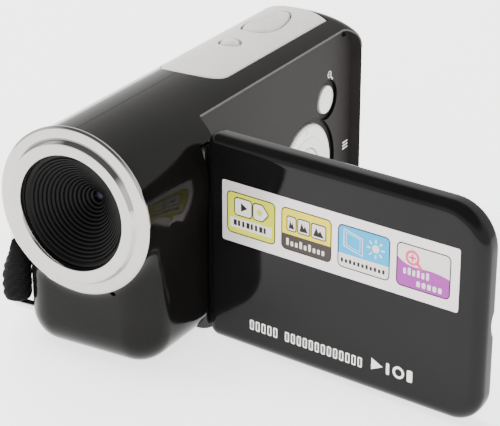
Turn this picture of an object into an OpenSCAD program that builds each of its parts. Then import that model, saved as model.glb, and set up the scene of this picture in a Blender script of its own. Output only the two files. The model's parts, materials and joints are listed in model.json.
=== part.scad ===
// Pocket camcorder with a fold-out screen.
// The origin is the mouth of the tripod socket, on the flat base. The lens looks along -Y, the screen
// opens to +X and the hand strap is on the -X side. The screen stands at its open stop.

/* [Casing] */
// Length from the lens ring's front lip to the rear face
body_len = 113; // [108:0.5:118]
// Height of the lens axis above the base
axis_z = 38.5; // [37.5:0.1:39.5]
// Radius of the round upper part of the casing
barrel_r = 19.1; // [18.9:0.1:19.4]
// Half the width of the lower part of the casing
side_half = 18.3; // [18:0.1:18.5]
// Thickness of the casing walls
wall = 1.8; // [1.6:0.1:2]
// Distance from the lens ring's front lip back to the tripod socket
socket_back = 48; // [47:0.5:49]

/* [Lens] */
// Radius of the lens ring's front lip
ring_r = 18; // [17.5:0.1:18.2]
// Radius of the lens ring where it meets the casing
ring_back_r = 19.95; // [19.6:0.05:20.2]
// Radius of the opening inside the lens ring
ring_hole_r = 13.4; // [13:0.1:13.8]
// Depth of the ribbed cone from the front lip to the lens
baffle_depth = 11.8; // [11:0.1:12.5]

/* [Screen] */
// Length of the screen panel, away from its hinge
panel_len = 73.8; // [72:0.1:74.5]
// Height of the screen panel
panel_h = 51.2; // [50:0.1:51.4]
// Thickness of the screen panel
panel_t = 6.1; // [5.9:0.05:6.1]
// Angle between the closed and the open position, in degrees
open_angle = 96.6; // [90:0.1:98]
// Radius of the hinge knuckles
knuckle_r = 2.45; // [2.3:0.05:2.5]

/* [Controls] */
// Radius of the four-way pad
pad_r = 13; // [12:0.1:13.1]
// Radius of the button in the middle of the pad
ok_r = 6.6; // [6:0.1:7]
// Radius of the small button above the pad
side_button_r = 3.75; // [3.4:0.05:3.8]
// Radius of the round button on the top
power_r = 2.6; // [2.4:0.1:2.8]

/* [Hand strap] */
// Width of the webbing
strap_w = 16; // [14:0.5:17]
// Thickness of the webbing
strap_t = 1.8; // [1.4:0.1:2]

/* [Hidden] */
$fn = 96;
// Gap between pieces that move past each other
gap = 0.15;
// A little extra length on a cutting shape
over = 1;
// Lens ring
lip_y = -socket_back;
ring_back_y = lip_y + 2.5;
rear_y = lip_y + body_len;
chin_y = lip_y + 4;
// Corner radii of the casing
bottom_round = 8.5;
chin_plan_round = 8.5;
chin_foot_round = 9;
rear_plan_round = 9;
rear_top_round = 13;
rear_foot_round = 8;
// Height to which the lower part reaches inside the barrel
block_top = axis_z + 5;
// Screen recess in the left shell
recess_x = 12.2;
recess_top = axis_z + 14.05;
recess_front = lip_y + 34.4;
recess_rear = rear_y - 1.7;
recess_round = 6.5;
key_recess_depth = 0.9;
// Hinge
hinge_x = 15.3;
hinge_y = lip_y + 31.6;
hinge_top = axis_z + 9;
hinge_mid_top = axis_z - 3.2;
hinge_mid_low = axis_z - 29.8;
hinge_low = 1.2;
pin_r = 0.8;
pin_clear = 0.05;
hinge_gap = 0.25;
hinge_channel_r = knuckle_r + 0.75;
// Screen panel, drawn closed with its hinge axis at x = 0, y = 0
panel_near = 3.2;
panel_outer = 3.3;
panel_inner = panel_outer - panel_t;
panel_low = 0.6;
panel_split = panel_inner + 2.2;
panel_edge_round = 2.6;
panel_round = [3, 7.5, 10.5, 2.5];
// Side controls
button_y = lip_y + 98.3;
button_z = axis_z - 3;
pad_y = lip_y + 88;
pad_z = axis_z - 19.9;
side_face_x = recess_x - 0.1;
// Top controls
power_y = lip_y + 69.8;
record_y = lip_y + 88.6;
record_half_l = 9;
record_half_w = 4.3;
record_egg = 0.2;
record_blunt = 0.75;
record_steps = 64;
top_face_z = axis_z + barrel_r;
travel = 0.6;
// Battery bay
battery_x = -12.9;
battery_size = [5.6, 42, 34];
battery_y = 8.4;
battery_z = 4.2;
door_x = [-15.4, -2.4];
door_front = 7.6;
door_top = 10;
// Hand strap
strap_z = 9.5;
staple_x = -21.6;
staple_front_y = lip_y + 8.4;
staple_rear_y = rear_y - 17;
staple_r = 1.1;
staple_ring_r = 2.8;
strap_out = 10;
strap_steps = 28;
// Screws along X that join the shells, as [y, z]
case_screw_at = [[-36, 7.5], [57, 13], [56.5, 46], [-14, 49.2]];
case_screw_r = 0.9;
case_boss_r = 2.4;
case_head_r = 1.7;
// Boards and switches behind the top and side controls
top_board_z = axis_z + 10.4;
top_dome_z = top_board_z + 1 + 0.8;
key_board_x = 5.9;
side_dome_x = key_board_x + 1 + 0.8;
key_screw_at = [[pad_y - 12.5, 40.5], [pad_y + 0.5, 40.5], [pad_y - 12.5, 8], [pad_y + 12, 8]];
// Main board and its screws
main_x = -1.6;
main_y = -12;
board_screw_at = [[main_y + 3, 39.5], [main_y + 61, 39.5], [main_y + 61, 11.5]];
// Threaded bush for a 1/4 inch camera screw: the bore is the thread's minor radius
bush_bore_r = 2.6;
bush_len = 6.4;
// Clear window over the 2.0 inch display, and the screws of the panel
window_w = 50;
window_h = 40;
window_y = panel_near + 12;
window_z = panel_low + 5.6;
panel_screw_at = [[panel_near + 6, 5], [panel_near + 6, 46], [panel_near + panel_len - 6, 9]];
leaf_screw_z = [hinge_mid_low + 5, hinge_mid_top - 5];
// Printed foil on the back cover
label_y = 8.34;
label_z = axis_z - 11.3;
// Microphone behind its hole in the front
mic_x = 8.7;
mic_z = axis_z - 18.9;
mic_hole_r = 0.65;
// Speaker behind the grip side
speaker_y = lip_y + 24;
speaker_z = axis_z - 8;
speaker_holes = 7;
speaker_pitch = 2.6;
// Round roll that the socket cover turns about
cover_pivot_r = 0.375;
cover_pivot_y = rear_y - cover_pivot_r;
cover_pivot_z = 20.975;
black = [0.05, 0.05, 0.055];

// A rectangle from the low corner a to the high corner b, with one radius for each corner:
// low-low, high-low, high-high and low-high.
module rounded_box_2d(a, b, r) {
    corners = [[a[0], a[1]], [b[0], a[1]], [b[0], b[1]], [a[0], b[1]]];
    inward = [[1, 1], [-1, 1], [-1, -1], [1, -1]];
    polygon([
        [a[0] + r[0], a[1]], [b[0] - r[1], a[1]], [b[0], a[1] + r[1]], [b[0], b[1] - r[2]],
        [b[0] - r[2], b[1]], [a[0] + r[3], b[1]], [a[0], b[1] - r[3]], [a[0], a[1] + r[0]]
    ]);
    for (i = [0:3])
        if (r[i] > 0)
            translate([corners[i][0] + inward[i][0] * r[i], corners[i][1] + inward[i][1] * r[i]])
                circle(r[i]);
}

// Extrusions whose outline lies in the XZ plane (along Y) and in the YZ plane (along X)
module along_y(from, to) {
    translate([0, to, 0]) rotate([90, 0, 0]) linear_extrude(to - from) children();
}
module along_x(from, to) {
    translate([from, 0, 0]) rotate([90, 0, 90]) linear_extrude(to - from) children();
}
module rod_y(r, from, to) {
    translate([0, to, 0]) rotate([90, 0, 0]) cylinder(r = r, h = to - from);
}
module rod_x(r, from, to) {
    translate([from, 0, 0]) rotate([0, 90, 0]) cylinder(r = r, h = to - from);
}

// The casing's outer form, drawn smaller by an inset for its inner face
module casing_form(inset) {
    back = rear_y - inset;
    half = side_half - inset;
    intersection() {
        union() {
            translate([0, 0, axis_z]) rod_y(barrel_r - inset, ring_back_y + inset * 2, back);
            intersection() {
                along_y(chin_y + inset, back)
                    rounded_box_2d([-half, inset], [half, block_top - inset],
                        [bottom_round - inset, bottom_round - inset, 0, 0]);
                translate([0, 0, -over]) linear_extrude(block_top + over)
                    rounded_box_2d([-half, chin_y + inset], [half, back + over],
                        [chin_plan_round - inset, chin_plan_round - inset, 0, 0]);
                along_x(-side_half, side_half)
                    rounded_box_2d([chin_y + inset, inset], [back, block_top + over],
                        [chin_foot_round - inset, 0, 0, 0]);
            }
        }
        along_x(-barrel_r - over, barrel_r + over)
            rounded_box_2d([ring_back_y - over, inset], [back, top_face_z - inset],
                [0, rear_foot_round - inset, rear_top_round - inset, 0]);
        translate([0, 0, -over]) linear_extrude(top_face_z + 2 * over)
            rounded_box_2d([-half - 0.8, ring_back_y - over], [half + 0.8, back],
                [0, 0, rear_plan_round - inset, rear_plan_round - inset]);
    }
}

// Outline of the screen recess, in the YZ plane
module recess_outline(grow) {
    rounded_box_2d([recess_front - grow, -over], [recess_rear + grow, recess_top + grow],
        [0, 0, recess_round + grow, 0.5]);
}

// The figure-of-eight outline round the small button and the pad, in the YZ plane
module keypad_outline(grow) {
    translate([button_y, button_z]) circle(side_button_r + grow);
    translate([pad_y, pad_z]) circle(pad_r + grow);
}

// Plan outline of the silver panel on top
module top_outline() {
    front = lip_y + 54.5;
    back = lip_y + 103.5;
    translate([0, front]) circle(9);
    polygon([[-9, front], [9, front], [9.25, back], [-9.25, back]]);
}

// Outline of the record button: an egg shape with a blunt front, narrower towards the rear
module record_outline(grow) {
    polygon([for (i = [0:record_steps - 1])
        let (a = 360 * i / record_steps, across = sign(sin(a)) * pow(abs(sin(a)), record_blunt))
        [(record_half_w + grow) * across * (1 + record_egg * cos(a)),
            record_y - (record_half_l + grow) * cos(a)]]);
}

// Casing walls with every opening, before they are split into two halves
module casing() {
    difference() {
        casing_form(0);
        difference() {
            casing_form(wall);
            along_x(recess_x - wall, barrel_r) recess_outline(wall);
            translate([hinge_x, hinge_y, 0]) cylinder(r = hinge_channel_r + wall, h = hinge_top + 3);
            for (at = case_screw_at)
                translate([0, at[0], at[1]]) rod_x(case_boss_r, -barrel_r, barrel_r);
            translate([0, 0, wall - over]) cylinder(r = 7.6, h = 5 + over);
        }
        along_x(recess_x, barrel_r + over) recess_outline(0);
        translate([0, 0, axis_z]) rod_y(15.6, ring_back_y - over, lip_y + 8);
        translate([hinge_x, hinge_y, -over]) cylinder(r = hinge_channel_r, h = hinge_top + over + 0.6);
        translate([hinge_x, hinge_y - hinge_channel_r, -over])
            cube([over + 4, 2 * hinge_channel_r, hinge_top + over + 0.6]);
        // Shallow recess round the side controls, and the holes that they stand in
        along_x(recess_x - key_recess_depth, recess_x + over) keypad_outline(1.6);
        along_x(recess_x - wall - over, recess_x + over) keypad_outline(gap);
        // Bed of the silver panel and the buttons that pass through it
        intersection() {
            difference() {
                casing_form(-over);
                casing_form(1.1);
            }
            translate([0, 0, axis_z]) linear_extrude(barrel_r + 2 * over) top_outline();
        }
        translate([0, 0, axis_z]) linear_extrude(barrel_r + over) record_outline(gap);
        translate([0, power_y, axis_z]) cylinder(r = power_r + gap, h = barrel_r + over);
        // Tripod bush and its flange, which the two shells clasp
        translate([0, 0, -over]) cylinder(r = 5, h = 7 + over);
        translate([0, 0, 3.4]) cylinder(r = 6.4, h = 1.6);
        // Microphone hole
        translate([mic_x, 0, mic_z]) rod_y(mic_hole_r, chin_y - over, chin_y + 4);
        // Speaker holes on the grip side
        for (i = [0:speaker_holes - 1])
            translate([0, speaker_y + speaker_pitch * (i - (speaker_holes - 1) / 2), speaker_z])
                rod_x(0.55, -barrel_r - over, -side_half + 2.4);
        // Socket opening and the bed of its rubber cover, on the rear face
        translate([2.2, rear_y - wall - over, 25.8]) cube([4.6, wall + 2 * over, 8.8]);
        translate([-0.2, rear_y - 0.9, 20.4]) cube([9.6, 0.9 + over, 17.2]);
        // Battery door
        battery_door_room();
        // Feet of the strap staples
        for (y = [staple_front_y, staple_rear_y], z = [strap_z - 1.6, strap_z + strap_w + 1.6])
            translate([0, y, z]) rod_x(staple_r, -side_half - over - 1, -side_half + 3);
        // Screw holes, and seats for the screw heads on the grip side
        for (at = case_screw_at) {
            translate([0, at[0], at[1]]) rod_x(case_screw_r, -barrel_r, 6);
            translate([0, at[0], at[1]]) rod_x(case_head_r + 0.1, -barrel_r - over, screw_seat_x(at));
        }
    }
}

// Where a casing screw's head rests: 2 mm below the curved grip side
function screw_seat_x(at) = at[1] > axis_z ? -sqrt(pow(barrel_r, 2) - pow(at[1] - axis_z + 2.2, 2)) + 2.2
    : at[1] < bottom_round ? -side_half + 2.6 : -side_half + 2;

// Space that the battery door takes out of the casing
module battery_door_room() {
    translate([door_x[0], door_front, -over])
        cube([door_x[1] - door_x[0], rear_y - door_front + over, door_top + over]);
}

module left_shell() {
    color(black) intersection() {
        casing();
        translate([0, lip_y - 1, -over]) cube([30, body_len + 5, 70]);
    }
}

module right_shell() {
    color(black) intersection() {
        casing();
        translate([-30, lip_y - 1, -over]) cube([30, body_len + 5, 70]);
    }
}

module lens_ring() {
    color([0.86, 0.87, 0.88]) translate([0, lip_y, axis_z]) rotate([-90, 0, 0]) rotate_extrude()
        polygon([
            [ring_hole_r, 1.1], [ring_hole_r + 0.25, 0.75], [ring_r - 1.5, 0.35], [ring_r - 1.3, 0.1],
            [ring_r - 1, 0], [ring_r - 0.3, 0], [ring_r, 0.3], [ring_r, 0.9],
            [ring_back_r - 0.3, 1.7], [ring_back_r, 2], [ring_back_r, 2.5], [15.4, 2.5],
            [15.4, 6], [14.6, 6], [14.6, 2.2], [ring_hole_r, 2.2]
        ]);
}

module lens_baffle() {
    ribs = 14;
    throat_r = 1.3;
    mouth_r = 13.2;
    mouth = 2.4;
    step = (mouth_r - 0.9 - throat_r) / ribs;
    rise = (baffle_depth - mouth) / ribs;
    front = [for (i = [0:ribs - 1], j = [0:1])
        [throat_r + (i + j) * step - j * 0.25, baffle_depth - i * rise - j * 0.1]];
    back = [[mouth_r + 1.3, mouth], [mouth_r + 1.3, mouth + 1.4], [mouth_r - 0.4, mouth + 1.4],
        [throat_r + 0.9, baffle_depth + 1.2], [throat_r, baffle_depth + 1.2]];
    color([0.06, 0.06, 0.06]) translate([0, lip_y, axis_z]) rotate([-90, 0, 0]) rotate_extrude()
        polygon(concat(front, back));
}

module front_lens() {
    color([0.5, 0.55, 0.65, 0.5]) translate([0, 0, axis_z])
        rod_y(3, lip_y + baffle_depth + 1.3, lip_y + baffle_depth + 2.6);
}

module lens_holder() {
    front = lip_y + baffle_depth + 1.25;
    color([0.12, 0.12, 0.12]) translate([0, 0, axis_z]) difference() {
        union() {
            rod_y(5, front, front + 13);
            translate([-8, front + 9, -8]) cube([16, 4, 16]);
        }
        rod_y(3.05, front - over, front + 9);
        translate([-4.6, front + 9, -4.6]) cube([9.2, 4 + over, 9.2]);
    }
}

module rear_lens() {
    y = lip_y + baffle_depth + 6;
    color([0.5, 0.55, 0.65, 0.5]) translate([0, 0, axis_z]) rod_y(3, y, y + 1.6);
}

module infrared_filter() {
    y = lip_y + baffle_depth + 10.3;
    color([0.45, 0.7, 0.75, 0.6]) translate([-4.2, y, axis_z - 4.2]) cube([8.4, 0.5, 8.4]);
}

module image_sensor() {
    y = lip_y + baffle_depth + 12.9;
    color([0.2, 0.2, 0.22]) translate([-4.2, y, axis_z - 4.2]) cube([8.4, 1.35, 8.4]);
}

module sensor_board() {
    y = lip_y + baffle_depth + 14.25;
    color([0.05, 0.3, 0.15]) difference() {
        translate([-11, y, axis_z - 9]) cube([22, 1, 18]);
        for (x = [-9.4, 9.4]) translate([x, 0, axis_z]) rod_y(0.8, y - over, y + 2);
    }
}

module sensor_cable() {
    y = lip_y + baffle_depth + 15.25;
    color([0.75, 0.5, 0.15]) {
        translate([-3.4, y, axis_z - 4]) cube([0.3, main_y - y - 1, 8]);
        translate([-3.4, main_y - 1.2, axis_z - 4]) cube([1.8, 2.8, 8]);
    }
}

module top_panel() {
    color([0.78, 0.77, 0.75]) difference() {
        intersection() {
            difference() {
                casing_form(-0.1);
                casing_form(1.1);
            }
            translate([0, 0, axis_z]) linear_extrude(barrel_r + over) top_outline();
        }
        translate([0, 0, axis_z]) linear_extrude(barrel_r + over) record_outline(gap);
        translate([0, power_y, axis_z]) cylinder(r = power_r + gap, h = barrel_r + over);
    }
}

// Top buttons: a slightly domed cap on a stem with a retaining flange below the casing wall
module power_button() {
    color([0.8, 0.79, 0.77]) translate([0, power_y, 0]) {
        intersection() {
            translate([0, 0, top_face_z - 3.4]) cylinder(r = power_r, h = 5);
            translate([0, -power_y, axis_z]) rod_y(barrel_r + 0.45, power_y - 8, power_y + 8);
        }
        translate([0, 0, top_face_z - 4]) cylinder(r = power_r + 0.9, h = 1.2);
        translate([0, 0, top_dome_z + travel]) cylinder(r = 1.1, h = top_face_z - 4 - top_dome_z);
    }
}

module record_button() {
    color([0.8, 0.79, 0.77]) {
        intersection() {
            translate([0, 0, top_face_z - 4.2]) linear_extrude(6) record_outline(0);
            translate([0, 0, axis_z]) rod_y(barrel_r + 0.4, record_y - 15, record_y + 15);
        }
        translate([0, 0, top_face_z - 4.8]) linear_extrude(0.8) record_outline(0.7);
        translate([0, record_y, top_dome_z + travel]) cylinder(r = 1.3, h = top_face_z - 4.6 - top_dome_z);
    }
}

// Boards and switches under the top controls
module top_switch_board() {
    color([0.05, 0.3, 0.15]) difference() {
        translate([-6.5, power_y - 9, top_board_z]) cube([13, 36, 1]);
        for (y = [power_y - 6, power_y + 24])
            translate([0, y, top_board_z - over]) cylinder(r = 0.8, h = 3);
    }
}

module top_dome_switches() {
    color([0.75, 0.76, 0.78]) for (y = [power_y, record_y])
        translate([0, y, top_board_z + 1]) cylinder(r1 = 2.6, r2 = 2, h = 0.8);
}

// Side buttons: a flat cap and a stem that reaches the dome behind the casing wall
module side_button() {
    color([0.82, 0.82, 0.8]) translate([0, button_y, button_z]) {
        rod_x(side_button_r, recess_x - wall - 0.2, side_face_x);
        rod_x(side_button_r + 0.7, recess_x - wall - 1, recess_x - wall - 0.2);
        rod_x(1.1, side_dome_x + travel, recess_x - wall - 0.9);
    }
}

module four_way_pad() {
    color([0.82, 0.82, 0.8]) translate([0, pad_y, pad_z]) difference() {
        union() {
            rod_x(pad_r, recess_x - wall - 0.2, side_face_x);
            rod_x(pad_r + 0.6, recess_x - wall - 1, recess_x - wall - 0.2);
            for (a = [0:90:270]) rotate([a, 0, 0]) translate([0, 9.6, 0])
                rod_x(1.1, side_dome_x + travel, recess_x - wall - 0.9);
        }
        rod_x(ok_r + gap, recess_x - wall - 2, recess_x);
        translate([recess_x - wall - 2, 0, 0]) rod_x(ok_r + 0.8, 0, 1.8);
    }
}

module ok_button() {
    color([0.82, 0.82, 0.8]) translate([0, pad_y, pad_z]) {
        rod_x(ok_r, recess_x - wall - 1, side_face_x);
        rod_x(ok_r + 0.6, recess_x - wall - 1.5, recess_x - wall - 0.95);
        rod_x(1.3, side_dome_x + travel, recess_x - wall - 0.9);
    }
}

// Board and switches behind the side controls
module key_board() {
    color([0.05, 0.3, 0.15]) difference() {
        translate([key_board_x, pad_y - 15, 6]) cube([1, 29, 37]);
        for (at = key_screw_at) translate([0, at[0], at[1]]) rod_x(0.8, key_board_x - over, key_board_x + 2);
    }
}

module side_dome_switches() {
    spots = concat([[button_y, button_z], [pad_y, pad_z]],
        [for (a = [0:90:270]) [pad_y + 9.6 * cos(a), pad_z + 9.6 * sin(a)]]);
    color([0.75, 0.76, 0.78]) for (at = spots)
        translate([key_board_x + 1, at[0], at[1]]) rotate([0, 90, 0]) cylinder(r1 = 2.3, r2 = 1.8, h = 0.8);
}

// Frame behind the casing wall that holds the key board off the buttons
module side_keypad_frame() {
    low = [pad_y - 15, 5];
    color([0.1, 0.1, 0.1]) difference() {
        translate([key_board_x + 1, low[0], 6]) cube([recess_x - wall - key_board_x - 1, 29, 37]);
        along_x(key_board_x, recess_x) keypad_outline(1.1);
        along_x(key_board_x, recess_x - wall - 2.6)
            rounded_box_2d([low[0] + 1.2, 7.2], [low[0] + 27.8, 38.4], [1, 1, 1, 1]);
        for (at = key_screw_at) translate([0, at[0], at[1]]) rod_x(0.6, key_board_x, recess_x - wall - 0.6);
    }
}

module main_board() {
    color([0.05, 0.3, 0.15]) difference() {
        translate([main_x, main_y, 8.5]) cube([1.2, 64, 34]);
        for (at = board_screw_at) translate([0, at[0], at[1]]) rod_x(0.9, main_x - over, main_x + 3);
    }
}

module board_chips() {
    color([0.1, 0.1, 0.11]) {
        translate([main_x + 1.2, 4, 20]) cube([1.2, 14, 14]);
        translate([main_x + 1.2, -6, 24]) cube([1, 8, 10]);
        translate([main_x + 1.2, 24, 14]) cube([1.6, 6, 8]);
        translate([main_x + 1.2, 38, 12]) cube([1.4, 8, 12]);
    }
}

module battery() {
    color([0.15, 0.2, 0.35]) translate([battery_x, battery_y, battery_z])
        along_x(0, battery_size[0])
            rounded_box_2d([0, 0], [battery_size[1], battery_size[2]], [1.5, 1.5, 1.5, 1.5]);
}

module battery_contacts() {
    top = battery_z + battery_size[2];
    color([0.85, 0.7, 0.35]) {
        translate([battery_x + 0.6, battery_y + 4, top + 0.6]) cube([4.4, 16, 2.2]);
        for (i = [0:2])
            translate([battery_x + 2, battery_y + 6 + 4.5 * i, top]) cube([1.4, 2.4, 0.7]);
    }
}

// The door is the piece of the casing's base and rear foot that covers the battery
module battery_door() {
    color(black) difference() {
        union() {
            intersection() {
                difference() {
                    casing_form(0);
                    casing_form(wall);
                }
                translate([door_x[0] + gap, door_front + gap, -over])
                    cube([door_x[1] - door_x[0] - 2 * gap, rear_y, door_top + over - gap]);
            }
            for (y = [door_front + 6, door_front + 30])
                translate([door_x[1] - 2.6, y, wall - 0.2]) cube([3.6, 5, 1.2]);
        }
        for (i = [0:3])
            translate([-13, door_front + 4 + 1.6 * i, -over]) cube([8.5, 0.7, over + 0.35]);
        translate([door_x[1] - 1, door_front + 3, wall - 0.3]) cube([3, 34, 0.3 + gap + 0.05]);
    }
}

module card_slot() {
    color([0.75, 0.76, 0.78]) difference() {
        translate([-6.2, 12, 4.4]) cube([3.2, 27, 29]);
        translate([-5.8, 12.9, 4.4 - over]) cube([2.4, 24.3, 28]);
    }
}

module usb_socket() {
    color([0.75, 0.76, 0.78]) difference() {
        translate([2.6, rear_y - 9.6, 26.3]) cube([3.9, 8.6, 7.8]);
        translate([3, rear_y - 7, 26.7]) cube([3.1, 8, 7]);
    }
    color([0.1, 0.1, 0.1]) translate([4.1, rear_y - 7.2, 27.6]) cube([0.9, 5.6, 5.2]);
}

// Rubber cover of the socket, with a round roll along its low edge where it turns
module port_cover() {
    color([0.07, 0.07, 0.07]) difference() {
        union() {
            translate([0, cover_pivot_y - cover_pivot_r, cover_pivot_z]) cube([9.2, 2 * cover_pivot_r, 16.4]);
            translate([0, cover_pivot_y, cover_pivot_z]) rod_x(cover_pivot_r, 0, 9.2);
            translate([3.3, rear_y - 1.4, 27]) cube([2.5, 0.7, 6.4]);
        }
        translate([3.4, rear_y - 0.3, 34.8]) cube([2.4, 0.4, 1.2]);
    }
}

module speaker() {
    color([0.2, 0.2, 0.22]) translate([0, speaker_y, speaker_z]) {
        rod_x(8.5, -side_half + wall + 0.5, -side_half + wall + 3);
        rod_x(5, -side_half + wall + 3, -side_half + wall + 5);
    }
}

module microphone() {
    color([0.55, 0.56, 0.58]) translate([mic_x, 0, mic_z])
        rod_y(2, chin_y + wall + 0.1, chin_y + wall + 2.6);
}

module tripod_bush() {
    color([0.72, 0.6, 0.35]) difference() {
        union() {
            cylinder(r = 4.9, h = bush_len);
            translate([0, 0, 3.45]) cylinder(r = 6.3, h = 1.5);
        }
        translate([0, 0, -over]) cylinder(r = bush_bore_r, h = bush_len - 1 + over);
    }
}

module strap_staple(y) {
    low = strap_z - 1.6;
    high = strap_z + strap_w + 1.6;
    color([0.75, 0.76, 0.78]) translate([0, y, 0]) {
        translate([staple_x, 0, low]) cylinder(r = staple_r, h = high - low);
        for (z = [low, high]) translate([0, 0, z]) {
            rod_x(staple_r, staple_x, -side_half + 2.9);
            translate([staple_x, 0, 0]) sphere(r = staple_r);
        }
    }
}
module strap_staple_front() {
    strap_staple(staple_front_y);
}
module strap_staple_rear() {
    strap_staple(staple_rear_y);
}

// Webbing: an arched band with a loop round each staple
function strap_point(t, side) =
    let (
        y0 = staple_front_y,
        y1 = staple_rear_y,
        bulge = pow(sin(180 * t), 0.62)
    )
    [staple_x - staple_ring_r + strap_t / 2 - strap_out * bulge - side * strap_t / 2, y0 + (y1 - y0) * t];
module hand_strap() {
    outer = [for (i = [0:strap_steps]) strap_point(i / strap_steps, 1)];
    inner = [for (i = [strap_steps:-1:0]) strap_point(i / strap_steps, -1)];
    color([0.06, 0.06, 0.06]) translate([0, 0, strap_z]) linear_extrude(strap_w) difference() {
        union() {
            polygon(concat(outer, inner));
            for (y = [staple_front_y, staple_rear_y]) translate([staple_x, y]) circle(staple_ring_r);
        }
        for (y = [staple_front_y, staple_rear_y]) translate([staple_x, y]) circle(staple_r + 0.1);
    }
}

// Fixed half of the hinge: knuckles above and below the screen's own knuckle, on a plate
// inside the casing
module hinge_bracket() {
    color([0.04, 0.04, 0.04]) translate([hinge_x, hinge_y, 0]) difference() {
        union() {
            translate([0, 0, hinge_mid_top + hinge_gap])
                cylinder(r = knuckle_r, h = hinge_top - hinge_mid_top - hinge_gap - 1.5);
            translate([0, 0, hinge_top - 1.5]) rotate_extrude() intersection() {
                circle(knuckle_r);
                square([knuckle_r, 1.5]);
            }
            translate([0, 0, hinge_low]) cylinder(r = knuckle_r, h = hinge_mid_low - hinge_low - hinge_gap);
            for (z = [[hinge_low, hinge_mid_low - hinge_gap], [hinge_mid_top + hinge_gap, hinge_top - 2]])
                intersection() {
                    translate([-hinge_channel_r, -1.4, z[0]]) cube([hinge_channel_r, 2.8, z[1] - z[0]]);
                    translate([0, 0, z[0]]) cylinder(r = hinge_channel_r, h = z[1] - z[0]);
                }
        }
        translate([0, 0, hinge_low + 1]) cylinder(r = pin_r, h = hinge_top - hinge_low - 4);
    }
}

module hinge_pin() {
    color([0.7, 0.71, 0.73]) translate([hinge_x, hinge_y, hinge_low + 1])
        cylinder(r = pin_r, h = hinge_top - hinge_low - 4);
}

// Puts a piece of the screen, drawn closed about its hinge axis, at its open stop
module at_open_stop() {
    translate([hinge_x, hinge_y, 0]) rotate([0, 0, -open_angle]) children();
}

// Panel outline in the YZ plane, with a radius at each corner
module panel_outline(inset) {
    rounded_box_2d([panel_near + inset, panel_low + inset],
        [panel_near + panel_len - inset, panel_low + panel_h - inset],
        [for (r = panel_round) max(r - inset, 0)]);
}

module screen_hinge_leaf() {
    color([0.04, 0.04, 0.04]) at_open_stop() difference() {
        union() {
            translate([0, 0, hinge_mid_low]) cylinder(r = knuckle_r, h = hinge_mid_top - hinge_mid_low);
            translate([-1.2, 0, hinge_mid_low]) cube([2.4, panel_near + 0.1, hinge_mid_top - hinge_mid_low]);
            translate([-0.9, panel_near, hinge_mid_low + 2])
                cube([1.8, 5.2, hinge_mid_top - hinge_mid_low - 4]);
        }
        translate([0, 0, hinge_mid_low - over])
            cylinder(r = pin_r + pin_clear, h = hinge_mid_top - hinge_mid_low + 2 * over);
        for (z = leaf_screw_z)
            translate([0, panel_near + 3.4, z]) rod_x(0.75, -2, 2);
    }
}

// Dent in the free edge, for a fingernail
module fingernail_scoop() {
    translate([panel_inner - 3.4, panel_near + panel_len + 6.4, axis_z - 14.5]) sphere(r = 8.5);
}

// Back cover of the screen: a tray with rounded outer edges and a fingernail scoop
module screen_cover() {
    color([0.03, 0.03, 0.03]) at_open_stop() difference() {
        union() {
            along_x(panel_split, panel_outer - panel_edge_round) panel_outline(0);
            hull() {
                along_x(panel_outer - panel_edge_round, panel_outer - panel_edge_round + 0.02)
                    panel_outline(0);
                along_x(panel_outer - 1.2, panel_outer - 1.18) panel_outline(0.5);
                along_x(panel_outer - 0.35, panel_outer - 0.33) panel_outline(1.4);
                along_x(panel_outer - 0.02, panel_outer) panel_outline(2.8);
            }
        }
        along_x(panel_split - over, panel_outer - 1.5) panel_outline(1.5);
        translate([-1.35, panel_near - over, hinge_mid_low - 0.1])
            cube([2.7, 7.5, hinge_mid_top - hinge_mid_low + 0.2]);
        fingernail_scoop();
    }
}

module screen_bezel() {
    color([0.05, 0.05, 0.05]) at_open_stop() difference() {
        along_x(panel_inner, panel_split) panel_outline(0.25);
        along_x(panel_inner - over, panel_inner + 0.9)
            rounded_box_2d([window_y, window_z], [window_y + window_w, window_z + window_h],
                [1.5, 1.5, 1.5, 1.5]);
        along_x(panel_inner + 0.8, panel_split + over)
            rounded_box_2d([window_y + 2, window_z + 2],
                [window_y + window_w - 2, window_z + window_h - 2], [0.5, 0.5, 0.5, 0.5]);
        translate([-1.35, panel_near - over, hinge_mid_low - 0.1])
            cube([2.7, 7.5, hinge_mid_top - hinge_mid_low + 0.2]);
        fingernail_scoop();
        for (at = panel_screw_at) {
            translate([0, at[0], at[1]]) rod_x(1.5, panel_inner - over, panel_inner + 0.9);
            translate([0, at[0], at[1]]) rod_x(0.7, panel_inner, panel_split + over);
        }
    }
}

module screen_window() {
    color([0.6, 0.65, 0.7, 0.4]) at_open_stop() along_x(panel_inner + 0.1, panel_inner + 0.9)
        rounded_box_2d([window_y + 0.1, window_z + 0.1],
            [window_y + window_w - 0.1, window_z + window_h - 0.1], [1.4, 1.4, 1.4, 1.4]);
}

module screen_module() {
    color([0.02, 0.02, 0.04]) at_open_stop()
        translate([panel_inner + 0.95, window_y + 2.1, window_z + 2.1]) {
            cube([2.4, window_w - 4.2, window_h - 4.2]);
        }
}

// Printed foil on the back cover, inset by its own thickness
module feature_label() {
    color([0.85, 0.8, 0.4]) at_open_stop() along_x(panel_outer, panel_outer + 0.12)
        rounded_box_2d([label_y, label_z], [label_y + 62.6, label_z + 14.85], [0.6, 0.6, 0.6, 0.6]);
}

// Flat cable that runs beside the hinge from the display to the main board
module screen_cable() {
    color([0.75, 0.5, 0.15]) at_open_stop()
        translate([1.3, panel_near + 1.7, hinge_mid_low + 8]) cube([0.25, 8, 6]);
}

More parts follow.
